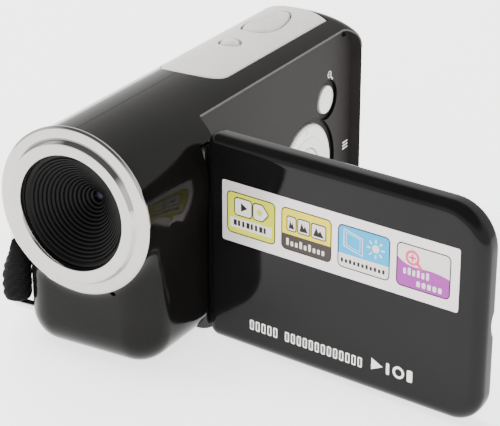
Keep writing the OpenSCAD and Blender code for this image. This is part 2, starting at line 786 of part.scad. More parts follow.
module casing_screws() {
    color([0.25, 0.25, 0.26]) for (at = case_screw_at) translate([0, at[0], at[1]]) difference() {
        union() {
            rod_x(case_screw_r - 0.05, screw_seat_x(at) - 0.5, 5.8);
            rod_x(case_head_r, screw_seat_x(at) - 1.3, screw_seat_x(at));
        }
        for (a = [0, 90]) rotate([a, 0, 0])
            translate([screw_seat_x(at) - 1.4, -1, -0.2]) cube([0.8, 2, 0.4]);
    }
}

module screen_screws() {
    color([0.25, 0.25, 0.26]) at_open_stop() for (at = panel_screw_at) translate([0, at[0], at[1]]) {
        difference() {
            rod_x(1.4, panel_inner + 0.1, panel_inner + 0.9);
            for (a = [0, 90]) rotate([a, 0, 0])
                translate([panel_inner, -0.9, -0.2]) cube([0.5, 1.8, 0.4]);
        }
        rod_x(0.65, panel_inner + 0.8, panel_split - 0.1);
    }
}

module board_screws() {
    color([0.5, 0.5, 0.52]) {
        for (at = board_screw_at) translate([0, at[0], at[1]]) {
            rod_x(0.85, main_x - 3, main_x + 1.2);
            rod_x(1.7, main_x + 1.2, main_x + 2.2);
        }
        for (at = key_screw_at) translate([0, at[0], at[1]]) {
            rod_x(0.55, key_board_x, recess_x - wall - 0.8);
            rod_x(1.4, key_board_x - 0.8, key_board_x);
        }
    }
}

left_shell();
right_shell();
lens_ring();
lens_baffle();
front_lens();
lens_holder();
rear_lens();
infrared_filter();
image_sensor();
sensor_board();
sensor_cable();
top_panel();
power_button();
record_button();
top_switch_board();
top_dome_switches();
side_button();
four_way_pad();
ok_button();
key_board();
side_dome_switches();
side_keypad_frame();
main_board();
board_chips();
battery();
battery_contacts();
battery_door();
card_slot();
usb_socket();
port_cover();
speaker();
microphone();
tripod_bush();
strap_staple_front();
strap_staple_rear();
hand_strap();
hinge_bracket();
hinge_pin();
screen_hinge_leaf();
screen_cover();
screen_bezel();
screen_window();
screen_module();
feature_label();
screen_cable();
casing_screws();
screen_screws();
board_screws();
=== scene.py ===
import json
import math

import bmesh
import bpy
import numpy as np
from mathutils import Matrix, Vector


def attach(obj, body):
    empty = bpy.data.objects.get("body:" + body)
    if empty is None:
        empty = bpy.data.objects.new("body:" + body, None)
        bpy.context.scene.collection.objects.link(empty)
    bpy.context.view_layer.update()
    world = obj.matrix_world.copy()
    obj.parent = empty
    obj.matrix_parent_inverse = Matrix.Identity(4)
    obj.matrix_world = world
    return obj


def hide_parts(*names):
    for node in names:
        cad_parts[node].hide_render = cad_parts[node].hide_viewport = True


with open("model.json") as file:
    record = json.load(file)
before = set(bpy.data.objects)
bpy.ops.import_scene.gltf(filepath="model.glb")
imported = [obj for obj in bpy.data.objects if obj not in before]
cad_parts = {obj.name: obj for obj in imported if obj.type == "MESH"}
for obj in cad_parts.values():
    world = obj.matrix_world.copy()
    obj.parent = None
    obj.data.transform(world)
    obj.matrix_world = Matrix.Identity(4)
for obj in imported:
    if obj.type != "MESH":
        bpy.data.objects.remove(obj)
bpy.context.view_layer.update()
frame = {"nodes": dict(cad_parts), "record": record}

# All lengths below are in millimetres, in the CAD's frame. The lens looks along -Y and the screen opens to +X.
MM = 0.001

# Casing: a round barrel about the lens axis, over a chin with rounded corners
LENS_Z = 38.5
LIP_Y = -48.0
RING_BACK_Y = -45.5
CHIN_Y = -44.0
CHIN_TOP_Z = 36.0
REAR_Y = 65.0
BARREL_R = 19.1
BARREL_TOP_Z = LENS_Z + BARREL_R
SIDE_HALF = 18.3
WALL = 1.8
CORNER_R = 8.5
REAR_TOP_R, REAR_FOOT_R, REAR_PLAN_R = 13, 8, 9
SEAM = 0.06
HIDDEN_SEAM = 0.002

# Recess for the screen, with the hinge channel in front of it
RECESS_X = 12.2
RECESS_FRONT, RECESS_REAR = LIP_Y + 34.4, REAR_Y - 1.7
RECESS_TOP = LENS_Z + 14.05
RECESS_R = 6.5
HINGE = (15.3, -16.4)
CHANNEL_R, CHANNEL_TOP = 3.2, LENS_Z + 9.6
BEHIND_RECESS_Z, BEHIND_CHANNEL_Z = 54.3, 51.0
OPEN_ANGLE = -96.6

# Silver panel and its two buttons
PANEL_FRONT, PANEL_REAR, PANEL_HALF = LIP_Y + 45.5, LIP_Y + 103.5, 9.0
POWER_Y, POWER_R = LIP_Y + 69.8, 2.6
RECORD_Y, RECORD_HALF_W, RECORD_HALF_L = LIP_Y + 88.6, 4.3, 9.0
RECORD_EGG, RECORD_BLUNT = 0.2, 0.75
HIGHEST_Z = 58.43

# Side controls, whose stems end on the dome switches
BUTTON_AT, BUTTON_R = (LIP_Y + 98.3, LENS_Z - 3), 3.75
PAD_AT, PAD_R = (LIP_Y + 88, LENS_Z - 19.9), 13.0
OK_R = 6.6
SWITCH_X = 8.35

# Openings in the casing: centres or corners, and sizes
MIC_AT, MIC_R = (8.7, LENS_Z - 18.9), 0.65
SPEAKER_AT, SPEAKER_PITCH, SPEAKER_HOLE_R, SPEAKER_HOLES = (-24, LENS_Z - 8), 2.6, 0.55, 7
PORT_LOW, PORT_HIGH = (-0.2, 20.4), (9.4, 37.6)
SOCKET_LOW, SOCKET_HIGH = (2.2, 25.8), (6.8, 34.6)
BUSH_R = 5
CASE_SCREWS = [(-36, 7.5), (57, 13), (56.5, 46), (-14, 49.2)]

# Hand strap
STRAP_LOW, STRAP_HIGH = 9.5, 25.5
STRAP_LOOP_R, STRAP_X = 2.45, -21.2
STRAP_FRONT_Y, STRAP_REAR_Y = LIP_Y + 7.6, REAR_Y - 16.4
STRAP_ARCH, STRAP_ARCH_POWER = 9.3, 0.62


# --- materials

def node_material(name):
    """A new material with its node tree and its shader."""
    mat = bpy.data.materials.new(name)
    mat.use_nodes = True
    tree = mat.node_tree
    return mat, tree, tree.nodes["Principled BSDF"]


def add_node(tree, kind, **values):
    """A new node with values for its inputs; an underscore stands for a space in an input's name."""
    node = tree.nodes.new("ShaderNode" + kind)
    set_inputs(node, **values)
    return node


def set_inputs(node, **values):
    for name, value in values.items():
        node.inputs[name.replace("_", " ")].default_value = value


def color_ramp(tree, source, low, high, places=(0.0, 1.0)):
    """A ramp between two colours, driven by a socket."""
    ramp = add_node(tree, "ValToRGB")
    for element, place, color in zip(ramp.color_ramp.elements, places, (low, high)):
        element.position = place
        element.color = (*color, 1)
    tree.links.new(source, ramp.inputs["Fac"])
    return ramp.outputs["Color"]


def add_bump(tree, bsdf, height, strength, distance):
    bump = add_node(tree, "Bump", Strength=strength, Distance=distance)
    tree.links.new(height, bump.inputs["Height"])
    tree.links.new(bump.outputs["Normal"], bsdf.inputs["Normal"])


def plain(name, color, rough, metal=0.0, specular=0.5, grain=0.0, grain_scale=900.0, vary=0.04,
          speck=None, alpha=1.0):
    """A moulded, plated or painted surface, with a slight cloudy change of colour and a fine grain.

    speck is the colour, the scale and the reach of small metallic flakes.
    """
    mat, tree, bsdf = node_material(name)
    links = tree.links
    place = add_node(tree, "TexCoord").outputs["Object"]
    cloud = add_node(tree, "TexNoise", Scale=60.0, Detail=3.0)
    links.new(place, cloud.inputs["Vector"])
    low = [max(0.0, c * (1 - vary)) for c in color]
    high = [min(1.0, c * (1 + vary)) for c in color]
    source = color_ramp(tree, cloud.outputs["Fac"], low, high, (0.3, 0.7))
    if speck:
        speck_color, speck_scale, speck_reach = speck
        dots = add_node(tree, "TexVoronoi", Scale=speck_scale)
        links.new(place, dots.inputs["Vector"])
        mask = color_ramp(tree, dots.outputs["Distance"], speck_color, (1, 1, 1), (0.0, speck_reach))
        mix = tree.nodes.new("ShaderNodeMix")
        mix.data_type = "RGBA"
        mix.blend_type = "MULTIPLY"
        mix.inputs["Factor"].default_value = 1.0
        links.new(source, mix.inputs["A"])
        links.new(mask, mix.inputs["B"])
        source = mix.outputs["Result"]
    links.new(source, bsdf.inputs["Base Color"])
    rough_map = add_node(tree, "MapRange", To_Min=rough * 0.85, To_Max=min(1.0, rough * 1.2))
    links.new(cloud.outputs["Fac"], rough_map.inputs["Value"])
    links.new(rough_map.outputs["Result"], bsdf.inputs["Roughness"])
    if grain:
        fine = add_node(tree, "TexNoise", Scale=grain_scale, Detail=4.0)
        links.new(place, fine.inputs["Vector"])
        add_bump(tree, bsdf, fine.outputs["Fac"], grain, 0.0001)
    set_inputs(bsdf, Metallic=metal, Specular_IOR_Level=specular, Alpha=alpha)
    return mat


# Colour, roughness and the rest of each finish
FINISHES = {
    "casing_black": ((0.0045, 0.0042, 0.004), 0.12, dict(specular=0.1, grain=0.03, vary=0.15)),
    "recess_satin": ((0.023, 0.021, 0.0202), 0.55, dict(specular=0.06, grain=0.1, vary=0.12)),
    # The edge bead's grey is far lighter than the casing's black: a painted highlight along the recess edge
    "ledge_satin": ((0.075, 0.073, 0.071), 0.45, dict(specular=0.2, vary=0.08)),
    "chrome": ((0.40, 0.39, 0.375), 0.05, dict(metal=1.0, grain=0.01, vary=0.02)),
    "baffle_black": ((0.003, 0.003, 0.003), 0.34, dict(specular=0.08, grain=0.15, vary=0.1)),
    "optical_glass": ((0.01, 0.01, 0.018), 0.05, dict(specular=0.1)),
    "inner_black": ((0.02, 0.02, 0.02), 0.5, dict(grain=0.3)),
    "filter_glass": ((0.1, 0.45, 0.5), 0.05, dict(specular=0.8)),
    "sensor_black": ((0.03, 0.03, 0.05), 0.25, dict()),
    "board_green": ((0.01, 0.12, 0.05), 0.35, dict(grain=0.3, grain_scale=500, vary=0.2)),
    "flex_amber": ((0.5, 0.25, 0.05), 0.3, dict(vary=0.1)),
    "satin_silver": ((0.63, 0.615, 0.585), 0.36, dict(metal=0.35, grain=0.3, grain_scale=2600, vary=0.05,
                                                      speck=((0.9, 0.9, 0.9), 1500.0, 0.35))),
    "button_silver": ((0.72, 0.715, 0.70), 0.3, dict(metal=0.2, grain=0.15, grain_scale=1800)),
    "tin_plate": ((0.6, 0.6, 0.6), 0.25, dict(metal=1.0, grain=0.1)),
    "chip_black": ((0.02, 0.02, 0.022), 0.5, dict(grain=0.3)),
    "cell_blue": ((0.02, 0.05, 0.18), 0.3, dict(vary=0.08)),
    "contact_gold": ((0.8, 0.58, 0.22), 0.2, dict(metal=1.0)),
    "rubber_black": ((0.014, 0.014, 0.014), 0.55, dict(specular=0.4, grain=0.4, grain_scale=1600)),
    "bush_brass": ((0.62, 0.47, 0.2), 0.28, dict(metal=1.0, grain=0.2, grain_scale=700, vary=0.12)),
    "staple_steel": ((0.7, 0.69, 0.67), 0.14, dict(metal=1.0, grain=0.05, vary=0.08)),
    "hinge_black": ((0.005, 0.005, 0.005), 0.14, dict(specular=0.4, grain=0.03, vary=0.15)),
    "pin_steel": ((0.6, 0.6, 0.6), 0.2, dict(metal=1.0)),
    "screen_black": ((0.004, 0.0038, 0.004), 0.07, dict(specular=0.15, grain=0.015, vary=0.15)),
    "screen_glass": ((0.01, 0.01, 0.012), 0.04, dict(specular=0.6, alpha=0.35)),
    "display_dark": ((0.006, 0.007, 0.010), 0.12, dict(specular=0.6)),
    "label_foil": ((0.66, 0.61, 0.60), 0.25, dict(metal=0.25, grain=0.1, grain_scale=500, vary=0.06)),
    "screw_black": ((0.05, 0.05, 0.05), 0.3, dict(metal=0.9, grain=0.2)),
    "screw_zinc": ((0.5, 0.5, 0.5), 0.28, dict(metal=1.0, grain=0.2)),
    "print_white": ((0.78, 0.77, 0.75), 0.4, dict(vary=0.03)),
}
# Colour of each ink on the label, and how much it varies
INKS = {
    "dark": ((0.018, 0.014, 0.012), 0.1),
    "lime": ((0.50, 0.52, 0.02), 0.12),
    "yellow": ((0.66, 0.56, 0.03), 0.05),
    "brown": ((0.045, 0.034, 0.03), 0.08),
    "cyan": ((0.008, 0.33, 0.62), 0.06),
    "purple": ((0.29, 0.035, 0.29), 0.07),
    "rose": ((0.66, 0.05, 0.15), 0.06),
    "pale": ((0.60, 0.585, 0.56), 0.04),
}
for ink, (ink_color, ink_vary) in INKS.items():
    FINISHES["print_" + ink] = (ink_color, 0.45, dict(specular=0.15, vary=ink_vary))
MATS = {name: plain(name, color, rough, **more) for name, (color, rough, more) in FINISHES.items()}


def webbing_material():
    """Black nylon with fine crosswise threads and fuzz."""
    mat, tree, bsdf = node_material("strap_black")
    links = tree.links
    place = add_node(tree, "TexCoord").outputs["Object"]
    wave = add_node(tree, "TexWave", Scale=700.0, Distortion=1.5, Detail_Scale=2.0)
    wave.bands_direction = "Z"
    fuzz = add_node(tree, "TexNoise", Scale=3200.0)
    links.new(place, wave.inputs["Vector"])
    links.new(place, fuzz.inputs["Vector"])
    color = color_ramp(tree, wave.outputs["Fac"], (0.004, 0.004, 0.0042), (0.005, 0.005, 0.005))
    links.new(color, bsdf.inputs["Base Color"])
    add = add_node(tree, "Math")
    add.operation = "ADD"
    links.new(wave.outputs["Fac"], add.inputs[0])
    links.new(fuzz.outputs["Fac"], add.inputs[1])
    add_bump(tree, bsdf, add.outputs["Value"], 0.6, 0.0002)
    set_inputs(bsdf, Roughness=0.7, Specular_IOR_Level=0.08)
    return mat


MATS["strap_black"] = webbing_material()


# --- mesh helpers

def add_mesh(name, points, faces, slot, body="casing", smooth_angle=30.0, replaces=(), turn_out=True):
    """A new piece from points in millimetres."""
    mesh = bpy.data.meshes.new(name)
    mesh.from_pydata((np.asarray(points, float) * MM).tolist(), [], faces)
    mesh.validate()
    obj = bpy.data.objects.new(name, mesh)
    bpy.context.collection.objects.link(obj)
    mesh.materials.append(MATS[slot])
    if turn_out:
        outward(mesh)
    soften(mesh, smooth_angle)
    if body:
        ride(obj, body, replaces)
    return obj


def ride(obj, body, replaces=()):
    """Says which body a piece moves with and which CAD nodes it replaces."""
    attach(obj, body)
    if replaces:
        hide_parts(*replaces)


def outward(mesh):
    """Turns every face to point out of its closed piece."""
    bm = bmesh.new()
    bm.from_mesh(mesh)
    bmesh.ops.recalc_face_normals(bm, faces=bm.faces)
    bm.to_mesh(mesh)
    bm.free()


def soften(mesh, angle):
    """Smooth shading, but sharp where faces meet at more than an angle in degrees."""
    mesh.polygons.foreach_set("use_smooth", [True] * len(mesh.polygons))
    mesh.set_sharp_from_angle(angle=math.radians(angle))
    mesh.update()


def lathe(profile, axis, centre, segments=160):
    """Points and faces of a closed profile of (radius, along) turned about an axis: 0 is X, 1 is Y, 2 is Z."""
    a, b = [(1, 2), (2, 0), (0, 1)][axis]
    points, faces, rows = [], [], []
    for radius, along in profile:
        if radius < 1e-6:
            p = list(centre)
            p[axis] += along
            rows.append([len(points)] * segments)
            points.append(p)
            continue
        row = []
        for i in range(segments):
            t = 2 * math.pi * i / segments
            p = list(centre)
            p[axis] += along
            p[a] += radius * math.cos(t)
            p[b] += radius * math.sin(t)
            row.append(len(points))
            points.append(p)
        rows.append(row)
    n = len(rows)
    for k in range(n):
        r0, r1 = rows[k], rows[(k + 1) % n]
        for i in range(segments):
            j = (i + 1) % segments
            quad = [r0[i], r0[j], r1[j], r1[i]]
            quad = [q for m, q in enumerate(quad) if q not in quad[:m]]
            if len(quad) > 2:
                faces.append(quad)
    return points, faces


def fillet(points, radii, steps=6):
    """Rounds the corners of a closed 2D outline."""
    out = []
    n = len(points)
    for i in range(n):
        p = np.array(points[i], float)
        r = radii[i] if isinstance(radii, (list, tuple)) else radii
        if r <= 0:
            out.append(tuple(p))
            continue
        u = np.array(points[i - 1], float) - p
        v = np.array(points[(i + 1) % n], float) - p
        lu, lv = np.linalg.norm(u), np.linalg.norm(v)
        u, v = u / lu, v / lv
        half = math.acos(max(-1, min(1, float(u @ v)))) / 2
        if half > math.radians(89):
            out.append(tuple(p))
            continue
        cut = min(r / math.tan(half), lu * 0.48, lv * 0.48)
        for k in range(steps + 1):
            t = k / steps
            q = p + u * cut * (1 - t) ** 2 + v * cut * t ** 2
            out.append(tuple(q))
    return out


def round_rect(lo, hi, radii, steps=10):
    """Rounded rectangle outline, counter-clockwise, radii from the low-low corner."""
    out = []
    spots = [(lo[0], lo[1], 1, 1, 180), (hi[0], lo[1], -1, 1, 270), (hi[0], hi[1], -1, -1, 0),
             (lo[0], hi[1], 1, -1, 90)]
    for (x, y, sx, sy, start), r in zip(spots, radii):
        r = max(r, 0.02)
        for k in range(steps + 1):
            t = math.radians(start + 90 * k / steps)
            out.append((x + sx * r + r * math.cos(t), y + sy * r + r * math.sin(t)))
    return out


def prism(outline, axis, low, high):
    """Points and faces of an outline pushed along an axis. The outline's plane is YZ, XZ or XY."""
    n = len(outline)
    place = {0: lambda p, h: (h, p[0], p[1]), 1: lambda p, h: (p[0], h, p[1]), 2: lambda p, h: (p[0], p[1], h)}
    points = [place[axis](p, low) for p in outline] + [place[axis](p, high) for p in outline]
    faces = [list(range(n))[::-1], list(range(n, 2 * n))]
    faces += [[i, (i + 1) % n, n + (i + 1) % n, n + i] for i in range(n)]
    return points, faces


def circle(cx, cy, r, n=64):
    return [(cx + r * math.cos(2 * math.pi * i / n), cy + r * math.sin(2 * math.pi * i / n)) for i in range(n)]


def rod(axis, at, r, low, high, n=48):
    """A straight round bar as a prism: at holds its place on the two other axes."""
    return prism(circle(at[0], at[1], r, n), axis, low, high)


def block(lo, hi):
    return prism([(lo[0], lo[1]), (hi[0], lo[1]), (hi[0], hi[1]), (lo[0], hi[1])], 2, lo[2], hi[2])


def merge(parts):
    points, faces = [], []
    for p, f in parts:
        base = len(points)
        points += list(p)
        faces += [[i + base for i in face] for face in f]
    return points, faces


def ring_faces(rows, n):
    """Faces between rows of n points, each row a closed ring."""
    faces = []
    for k in range(rows - 1):
        for i in range(n):
            j = (i + 1) % n
            faces.append([k * n + i, k * n + j, (k + 1) * n + j, (k + 1) * n + i])
    return faces


def rings(loops, close_ends=True):
    """Faces between loops that have the same number of points, with a cap on each end."""
    n = len(loops[0])
    points = [p for loop in loops for p in loop]
    faces = ring_faces(len(loops), n)
    if close_ends:
        faces.append(list(range(n))[::-1])
        faces.append([(len(loops) - 1) * n + i for i in range(n)])
    return points, faces


def sheet_faces(n, m):
    """Faces of two n by m grids of points, one after the other, joined round their rim."""
    faces = []
    for i in range(n - 1):
        for j in range(m - 1):
            a = i * m + j
            b = n * m + a
            faces.append([a, a + 1, a + m + 1, a + m])
            faces.append([b, b + m, b + m + 1, b + 1])
    rim = [i * m for i in range(n)] + [(n - 1) * m + j for j in range(1, m)]
    rim += [i * m + m - 1 for i in range(n - 2, -1, -1)] + [j for j in range(m - 2, 0, -1)]
    for a, b in zip(rim, rim[1:] + rim[:1]):
        faces.append([a, n * m + a, n * m + b, b])
    return faces


def bool_cut(obj, cutters, self_test=True):
    """Cuts closed pieces out of an object. self_test allows for pieces that cross each other."""
    points, faces = merge(cutters)
    mesh = bpy.data.meshes.new("cutter")
    mesh.from_pydata((np.asarray(points, float) * MM).tolist(), [], faces)
    mesh.validate()
    outward(mesh)
    tool = bpy.data.objects.new("cutter", mesh)
    bpy.context.collection.objects.link(tool)
    mod = obj.modifiers.new("cut", "BOOLEAN")
    mod.operation = "DIFFERENCE"
    mod.solver = "EXACT"
    mod.use_self = self_test
    mod.object = tool
    dg = bpy.context.evaluated_depsgraph_get()
    cut = bpy.data.meshes.new_from_object(obj.evaluated_get(dg))
    obj.modifiers.clear()
    old = obj.data
    obj.data = cut
    bpy.data.meshes.remove(old)
    bpy.data.objects.remove(tool)
    bpy.data.meshes.remove(mesh)


SLOT_OF = {s["node"]: s["material_slot"] for s in frame["record"]["subparts"]}
for node_name, node_obj in frame["nodes"].items():
    for i in range(len(node_obj.data.materials)):
        node_obj.data.materials[i] = MATS[SLOT_OF[node_name]]


# --- the casing's form

def smooth_step(a, b, v):
    t = np.clip((v - a) / (b - a), 0, 1)
    return t * t * (3 - 2 * t)


def corner_form(a, b, r):
    """Height over two walls that meet in a round corner, where a and b are the distances past the walls."""
    return np.hypot(np.maximum(a + r, 0), np.maximum(b + r, 0)) - r


def form(p):
    """Signed distance-like height of the casing's outer form: negative inside."""
    x, y, z = p[..., 0], p[..., 1], p[..., 2]
    barrel = np.hypot(x, z - LENS_Z) - BARREL_R
    u = np.maximum(np.abs(x) - (SIDE_HALF - CORNER_R), 0)
    v = np.maximum(CHIN_Y + CORNER_R - y, 0)
    w = np.maximum(CORNER_R - z, 0)
    chin = np.sqrt(u * u + v * v + w * w) - CORNER_R
    chin = np.maximum(chin, z - CHIN_TOP_Z)
    # The blend of chin and barrel widens towards the front
    k = 1.0 + 3.0 * smooth_step(-34.0, -40.0, y)
    h = np.clip(0.5 + 0.5 * (chin - barrel) / k, 0, 1)
    both = chin * (1 - h) + barrel * h - k * h * (1 - h)
    both = np.maximum(both, RING_BACK_Y - y)
    top = corner_form(y - REAR_Y, z - BARREL_TOP_Z, REAR_TOP_R)
    foot = corner_form(y - REAR_Y, -z, REAR_FOOT_R)
    plan = corner_form(y - REAR_Y, np.abs(x) - BARREL_R, REAR_PLAN_R)
    rear = np.maximum(np.maximum(top, foot), plan)
    soft = 0.02 + 2.4 * smooth_step(REAR_Y - 14, REAR_Y - 4, y)
    h = np.clip(0.5 + 0.5 * (both - rear) / soft, 0, 1)
    return rear * (1 - h) + both * h + soft * h * (1 - h)


def cavity(p):
    """The hollow inside: a wall's thickness in, and clear of the recess and the hinge channel."""
    x, y, z = p[..., 0], p[..., 1], p[..., 2]
    recess = np.maximum(np.maximum(RECESS_X - WALL - x, RECESS_FRONT - WALL - y), z - BEHIND_RECESS_Z)
    channel = np.maximum(np.hypot(x - HINGE[0], y - HINGE[1]) - CHANNEL_R - WALL, z - BEHIND_CHANNEL_Z)
    return np.maximum(form(p) + WALL, -np.minimum(recess, channel))


def gradient(fn, p, e=0.02):
    """Unit direction in which a form rises fastest."""
    g = np.zeros_like(p)
    for k in range(3):
        d = np.zeros(3)
        d[k] = e
        g[..., k] = fn(p + d) - fn(p - d)
    return g / np.maximum(np.linalg.norm(g, axis=-1, keepdims=True), 1e-12)


def cast(fn, origins, directions, reach=90.0):
    """The point where each ray from inside leaves the form."""
    near = np.zeros(origins.shape[:-1])
    far = np.full(origins.shape[:-1], reach)
    for _ in range(34):
        mid = (near + far) / 2
        inside = fn(origins + directions * mid[..., None]) < 0
        near = np.where(inside, mid, near)
        far = np.where(inside, far, mid)
    return origins + directions * near[..., None]


def wrapped(fn, turns, middle, front_rings, rear_rings, y0=-30.0, y1=44.0, axis_z=30.0):
    """A closed grid over a form, from a pole in front to a pole at the rear."""
    rows = [(y0, -math.pi / 2 * (1 - k / front_rings)) for k in range(1, front_rings)]
    rows += [(y0 + (y1 - y0) * k / middle, 0.0) for k in range(middle + 1)]
    rows += [(y1, math.pi / 2 * k / rear_rings) for k in range(1, rear_rings)]
    turn = np.arange(turns) * 2 * math.pi / turns
    origins = np.zeros((len(rows), turns, 3))
    directions = np.zeros((len(rows), turns, 3))
    for i, (y, tilt) in enumerate(rows):
        origins[i] = (0, y, axis_z)
        directions[i, :, 0] = np.sin(turn) * math.cos(tilt)
        directions[i, :, 1] = math.sin(tilt)
        directions[i, :, 2] = np.cos(turn) * math.cos(tilt)
    grid = cast(fn, origins, directions)
    pole_origins = np.array([[0, y0, axis_z], [0, y1, axis_z]], float)
    poles = cast(fn, pole_origins, np.array([[0, -1, 0], [0, 1, 0]], float))
    points = grid.reshape(-1, 3).tolist() + poles.tolist()
    faces = ring_faces(len(rows), turns)
    front, rear = len(rows) * turns, len(rows) * turns + 1
    last = (len(rows) - 1) * turns
    for j in range(turns):
        k = (j + 1) % turns
        faces.append([front, k, j])
        faces.append([rear, last + j, last + k])
    a, b, c = (np.array(points[i]) for i in faces[(len(rows) // 2) * turns][:3])
    if np.dot(np.cross(b - a, c - a), a - np.array([0, a[1], axis_z])) < 0:
        faces = [f[::-1] for f in faces]
    return points, faces


def top_height(x, y, level):
    """Height of the casing's top at a plan point, moved out by a level."""
    origins = np.stack([x, y, np.full_like(x, LENS_Z)], -1)
    directions = np.zeros_like(origins)
    directions[..., 2] = 1
    return cast(lambda q: form(q) - level, origins, directions, 30.0)[..., 2]


def top_half_width(y):
    """Half width of the silver panel's plan at a distance y."""
    front = PANEL_FRONT + PANEL_HALF
    if y < front:
        return math.sqrt(max(0.0, PANEL_HALF ** 2 - (front - y) ** 2))
    return PANEL_HALF + 0.25 * (y - front) / (PANEL_REAR - front)


def top_patch(inset, low_level, high_level, crown_edge, rows=60, columns=28):
    """A closed patch over the silver panel's plan, between two levels, with a rounded rim."""
    front, back = PANEL_FRONT + inset, PANEL_REAR - inset
    s = 1 - np.cos(np.linspace(0.02, 1, rows) * math.pi / 2)
    ys = np.concatenate([front + s * PANEL_HALF, np.linspace(front + PANEL_HALF + 0.5, back, rows)])
    us = np.sin(np.linspace(-1, 1, columns) * math.pi / 2)
    half = [max(0.02, top_half_width(min(max(y, PANEL_FRONT + 0.1), back)) - inset) for y in ys]
    reach = np.array(half)[:, None]
    xs = reach * us
    yy = np.repeat(ys[:, None], columns, 1)
    edge = np.minimum(reach - np.abs(xs), np.minimum(back - yy, (yy - front) * 0.6))
    drop = crown_edge * np.clip(1 - edge / max(crown_edge, 1e-6), 0, 1) ** 2 if crown_edge else 0
    high = top_height(xs, yy, high_level) - drop
    low = top_height(xs, yy, low_level)
    points = np.concatenate([np.stack([xs, yy, level], -1).reshape(-1, 3) for level in (high, low)])
    return points.tolist(), sheet_faces(*xs.shape)


def egg(grow, count=96):
    """Outline of the record button, with a blunt front."""
    out = []
    for i in range(count):
        a = 2 * math.pi * i / count
        across = math.copysign(abs(math.sin(a)) ** RECORD_BLUNT, math.sin(a))
        out.append(((RECORD_HALF_W + grow) * across * (1 + RECORD_EGG * math.cos(a)),
                    RECORD_Y - (RECORD_HALF_L + grow) * math.cos(a)))
    return out[::-1]


def screw_seat(at):
    """Depth of a screw's seat in the right side: X at the bottom of its round pocket."""
    if at[1] > LENS_Z:
        return -math.sqrt(BARREL_R ** 2 - (at[1] - LENS_Z + 2.2) ** 2) + 2.2
    return -SIDE_HALF + (2.6 if at[1] < CORNER_R else 2)


def half_space(far, side):
    """Cuts away the other half, with a visible seam on the top, the rear and the base but none on the chin."""
    boxes = []
    for y0, z0, gap in ((-60, -5, HIDDEN_SEAM), (-60, 45, SEAM), (-20, -5, SEAM)):
        lo, hi = sorted((far, side * gap))
        boxes.append(block((lo, y0, z0), (hi, 80, 70)))
    return boxes


def make_casing():
    outer = wrapped(form, 208, 96, 34, 44)
    inner_points, inner_faces = wrapped(cavity, 72, 48, 14, 16)
    shell = merge([outer, (inner_points, [f[::-1] for f in inner_faces])])
    common = [
        rod(1, (0, LENS_Z), 15.6, RING_BACK_Y - 2, LIP_Y + 8, 96),
        top_patch(0.0, -1.1, 2.0, 0, 40, 20),
        rod(2, (0, 0), BUSH_R, -1, 7, 64),
        prism(egg(0.5), 2, LENS_Z, LENS_Z + 21),
        rod(2, (0, POWER_Y), POWER_R + 0.5, LENS_Z, LENS_Z + 21),
    ]
    recess = round_rect((RECESS_FRONT, -1), (RECESS_REAR, RECESS_TOP), [0.5, 0.5, RECESS_R, 0.6])
    port = block((PORT_LOW[0], REAR_Y - 0.9, PORT_LOW[1]), (PORT_HIGH[0], REAR_Y + 1, PORT_HIGH[1]))
    well = RECESS_X - 0.9
    left = [
        *half_space(-40, 1),
        prism(recess, 0, RECESS_X, 25),
        rod(2, HINGE, CHANNEL_R, -1, CHANNEL_TOP, 64),
        block((HINGE[0], HINGE[1] - CHANNEL_R, -1), (25, HINGE[1] + CHANNEL_R, CHANNEL_TOP)),
        prism(circle(*BUTTON_AT, BUTTON_R + 1.6), 0, well, 20),
        prism(circle(*PAD_AT, PAD_R + 1.6, 96), 0, well, 20),
        prism(circle(*BUTTON_AT, BUTTON_R + 0.2), 0, 5, 20),
        prism(circle(*PAD_AT, PAD_R + 0.2, 96), 0, 5, 20),
        rod(1, MIC_AT, MIC_R, CHIN_Y - 1, CHIN_Y + 4, 24),
        block((SOCKET_LOW[0], REAR_Y - 4, SOCKET_LOW[1]), (SOCKET_HIGH[0], REAR_Y + 1, SOCKET_HIGH[1])),
        port,
    ]
    right = [
        *half_space(40, -1),
        port,
        block((-15.4, 7.6, -1), (-2.4, REAR_Y + 1, 10)),
    ]
    for i in range(SPEAKER_HOLES):
        y = SPEAKER_AT[0] + SPEAKER_PITCH * (i - SPEAKER_HOLES // 2)
        right.append(rod(0, (y, SPEAKER_AT[1]), SPEAKER_HOLE_R, -20.5, -SIDE_HALF + 2.4, 20))
    for y in (LIP_Y + 8.4, REAR_Y - 17):
        for z in (STRAP_LOW - 1.6, STRAP_HIGH + 1.6):
            right.append(rod(0, (y, z), 1.1, -SIDE_HALF - 2, -SIDE_HALF + 3, 32))
    for at in CASE_SCREWS:
        right.append(rod(0, at, 1.8, -21, screw_seat(at), 32))
    for side, cutters in (("left", left), ("right", right)):
        obj = add_mesh(side + "_casing_shell", *shell, "casing_black", None, turn_out=False)
        obj.data.materials.append(MATS["recess_satin"])
        bool_cut(obj, common + cutters)
        polish(obj.data)
        ride(obj, "casing", [side + "_shell"])


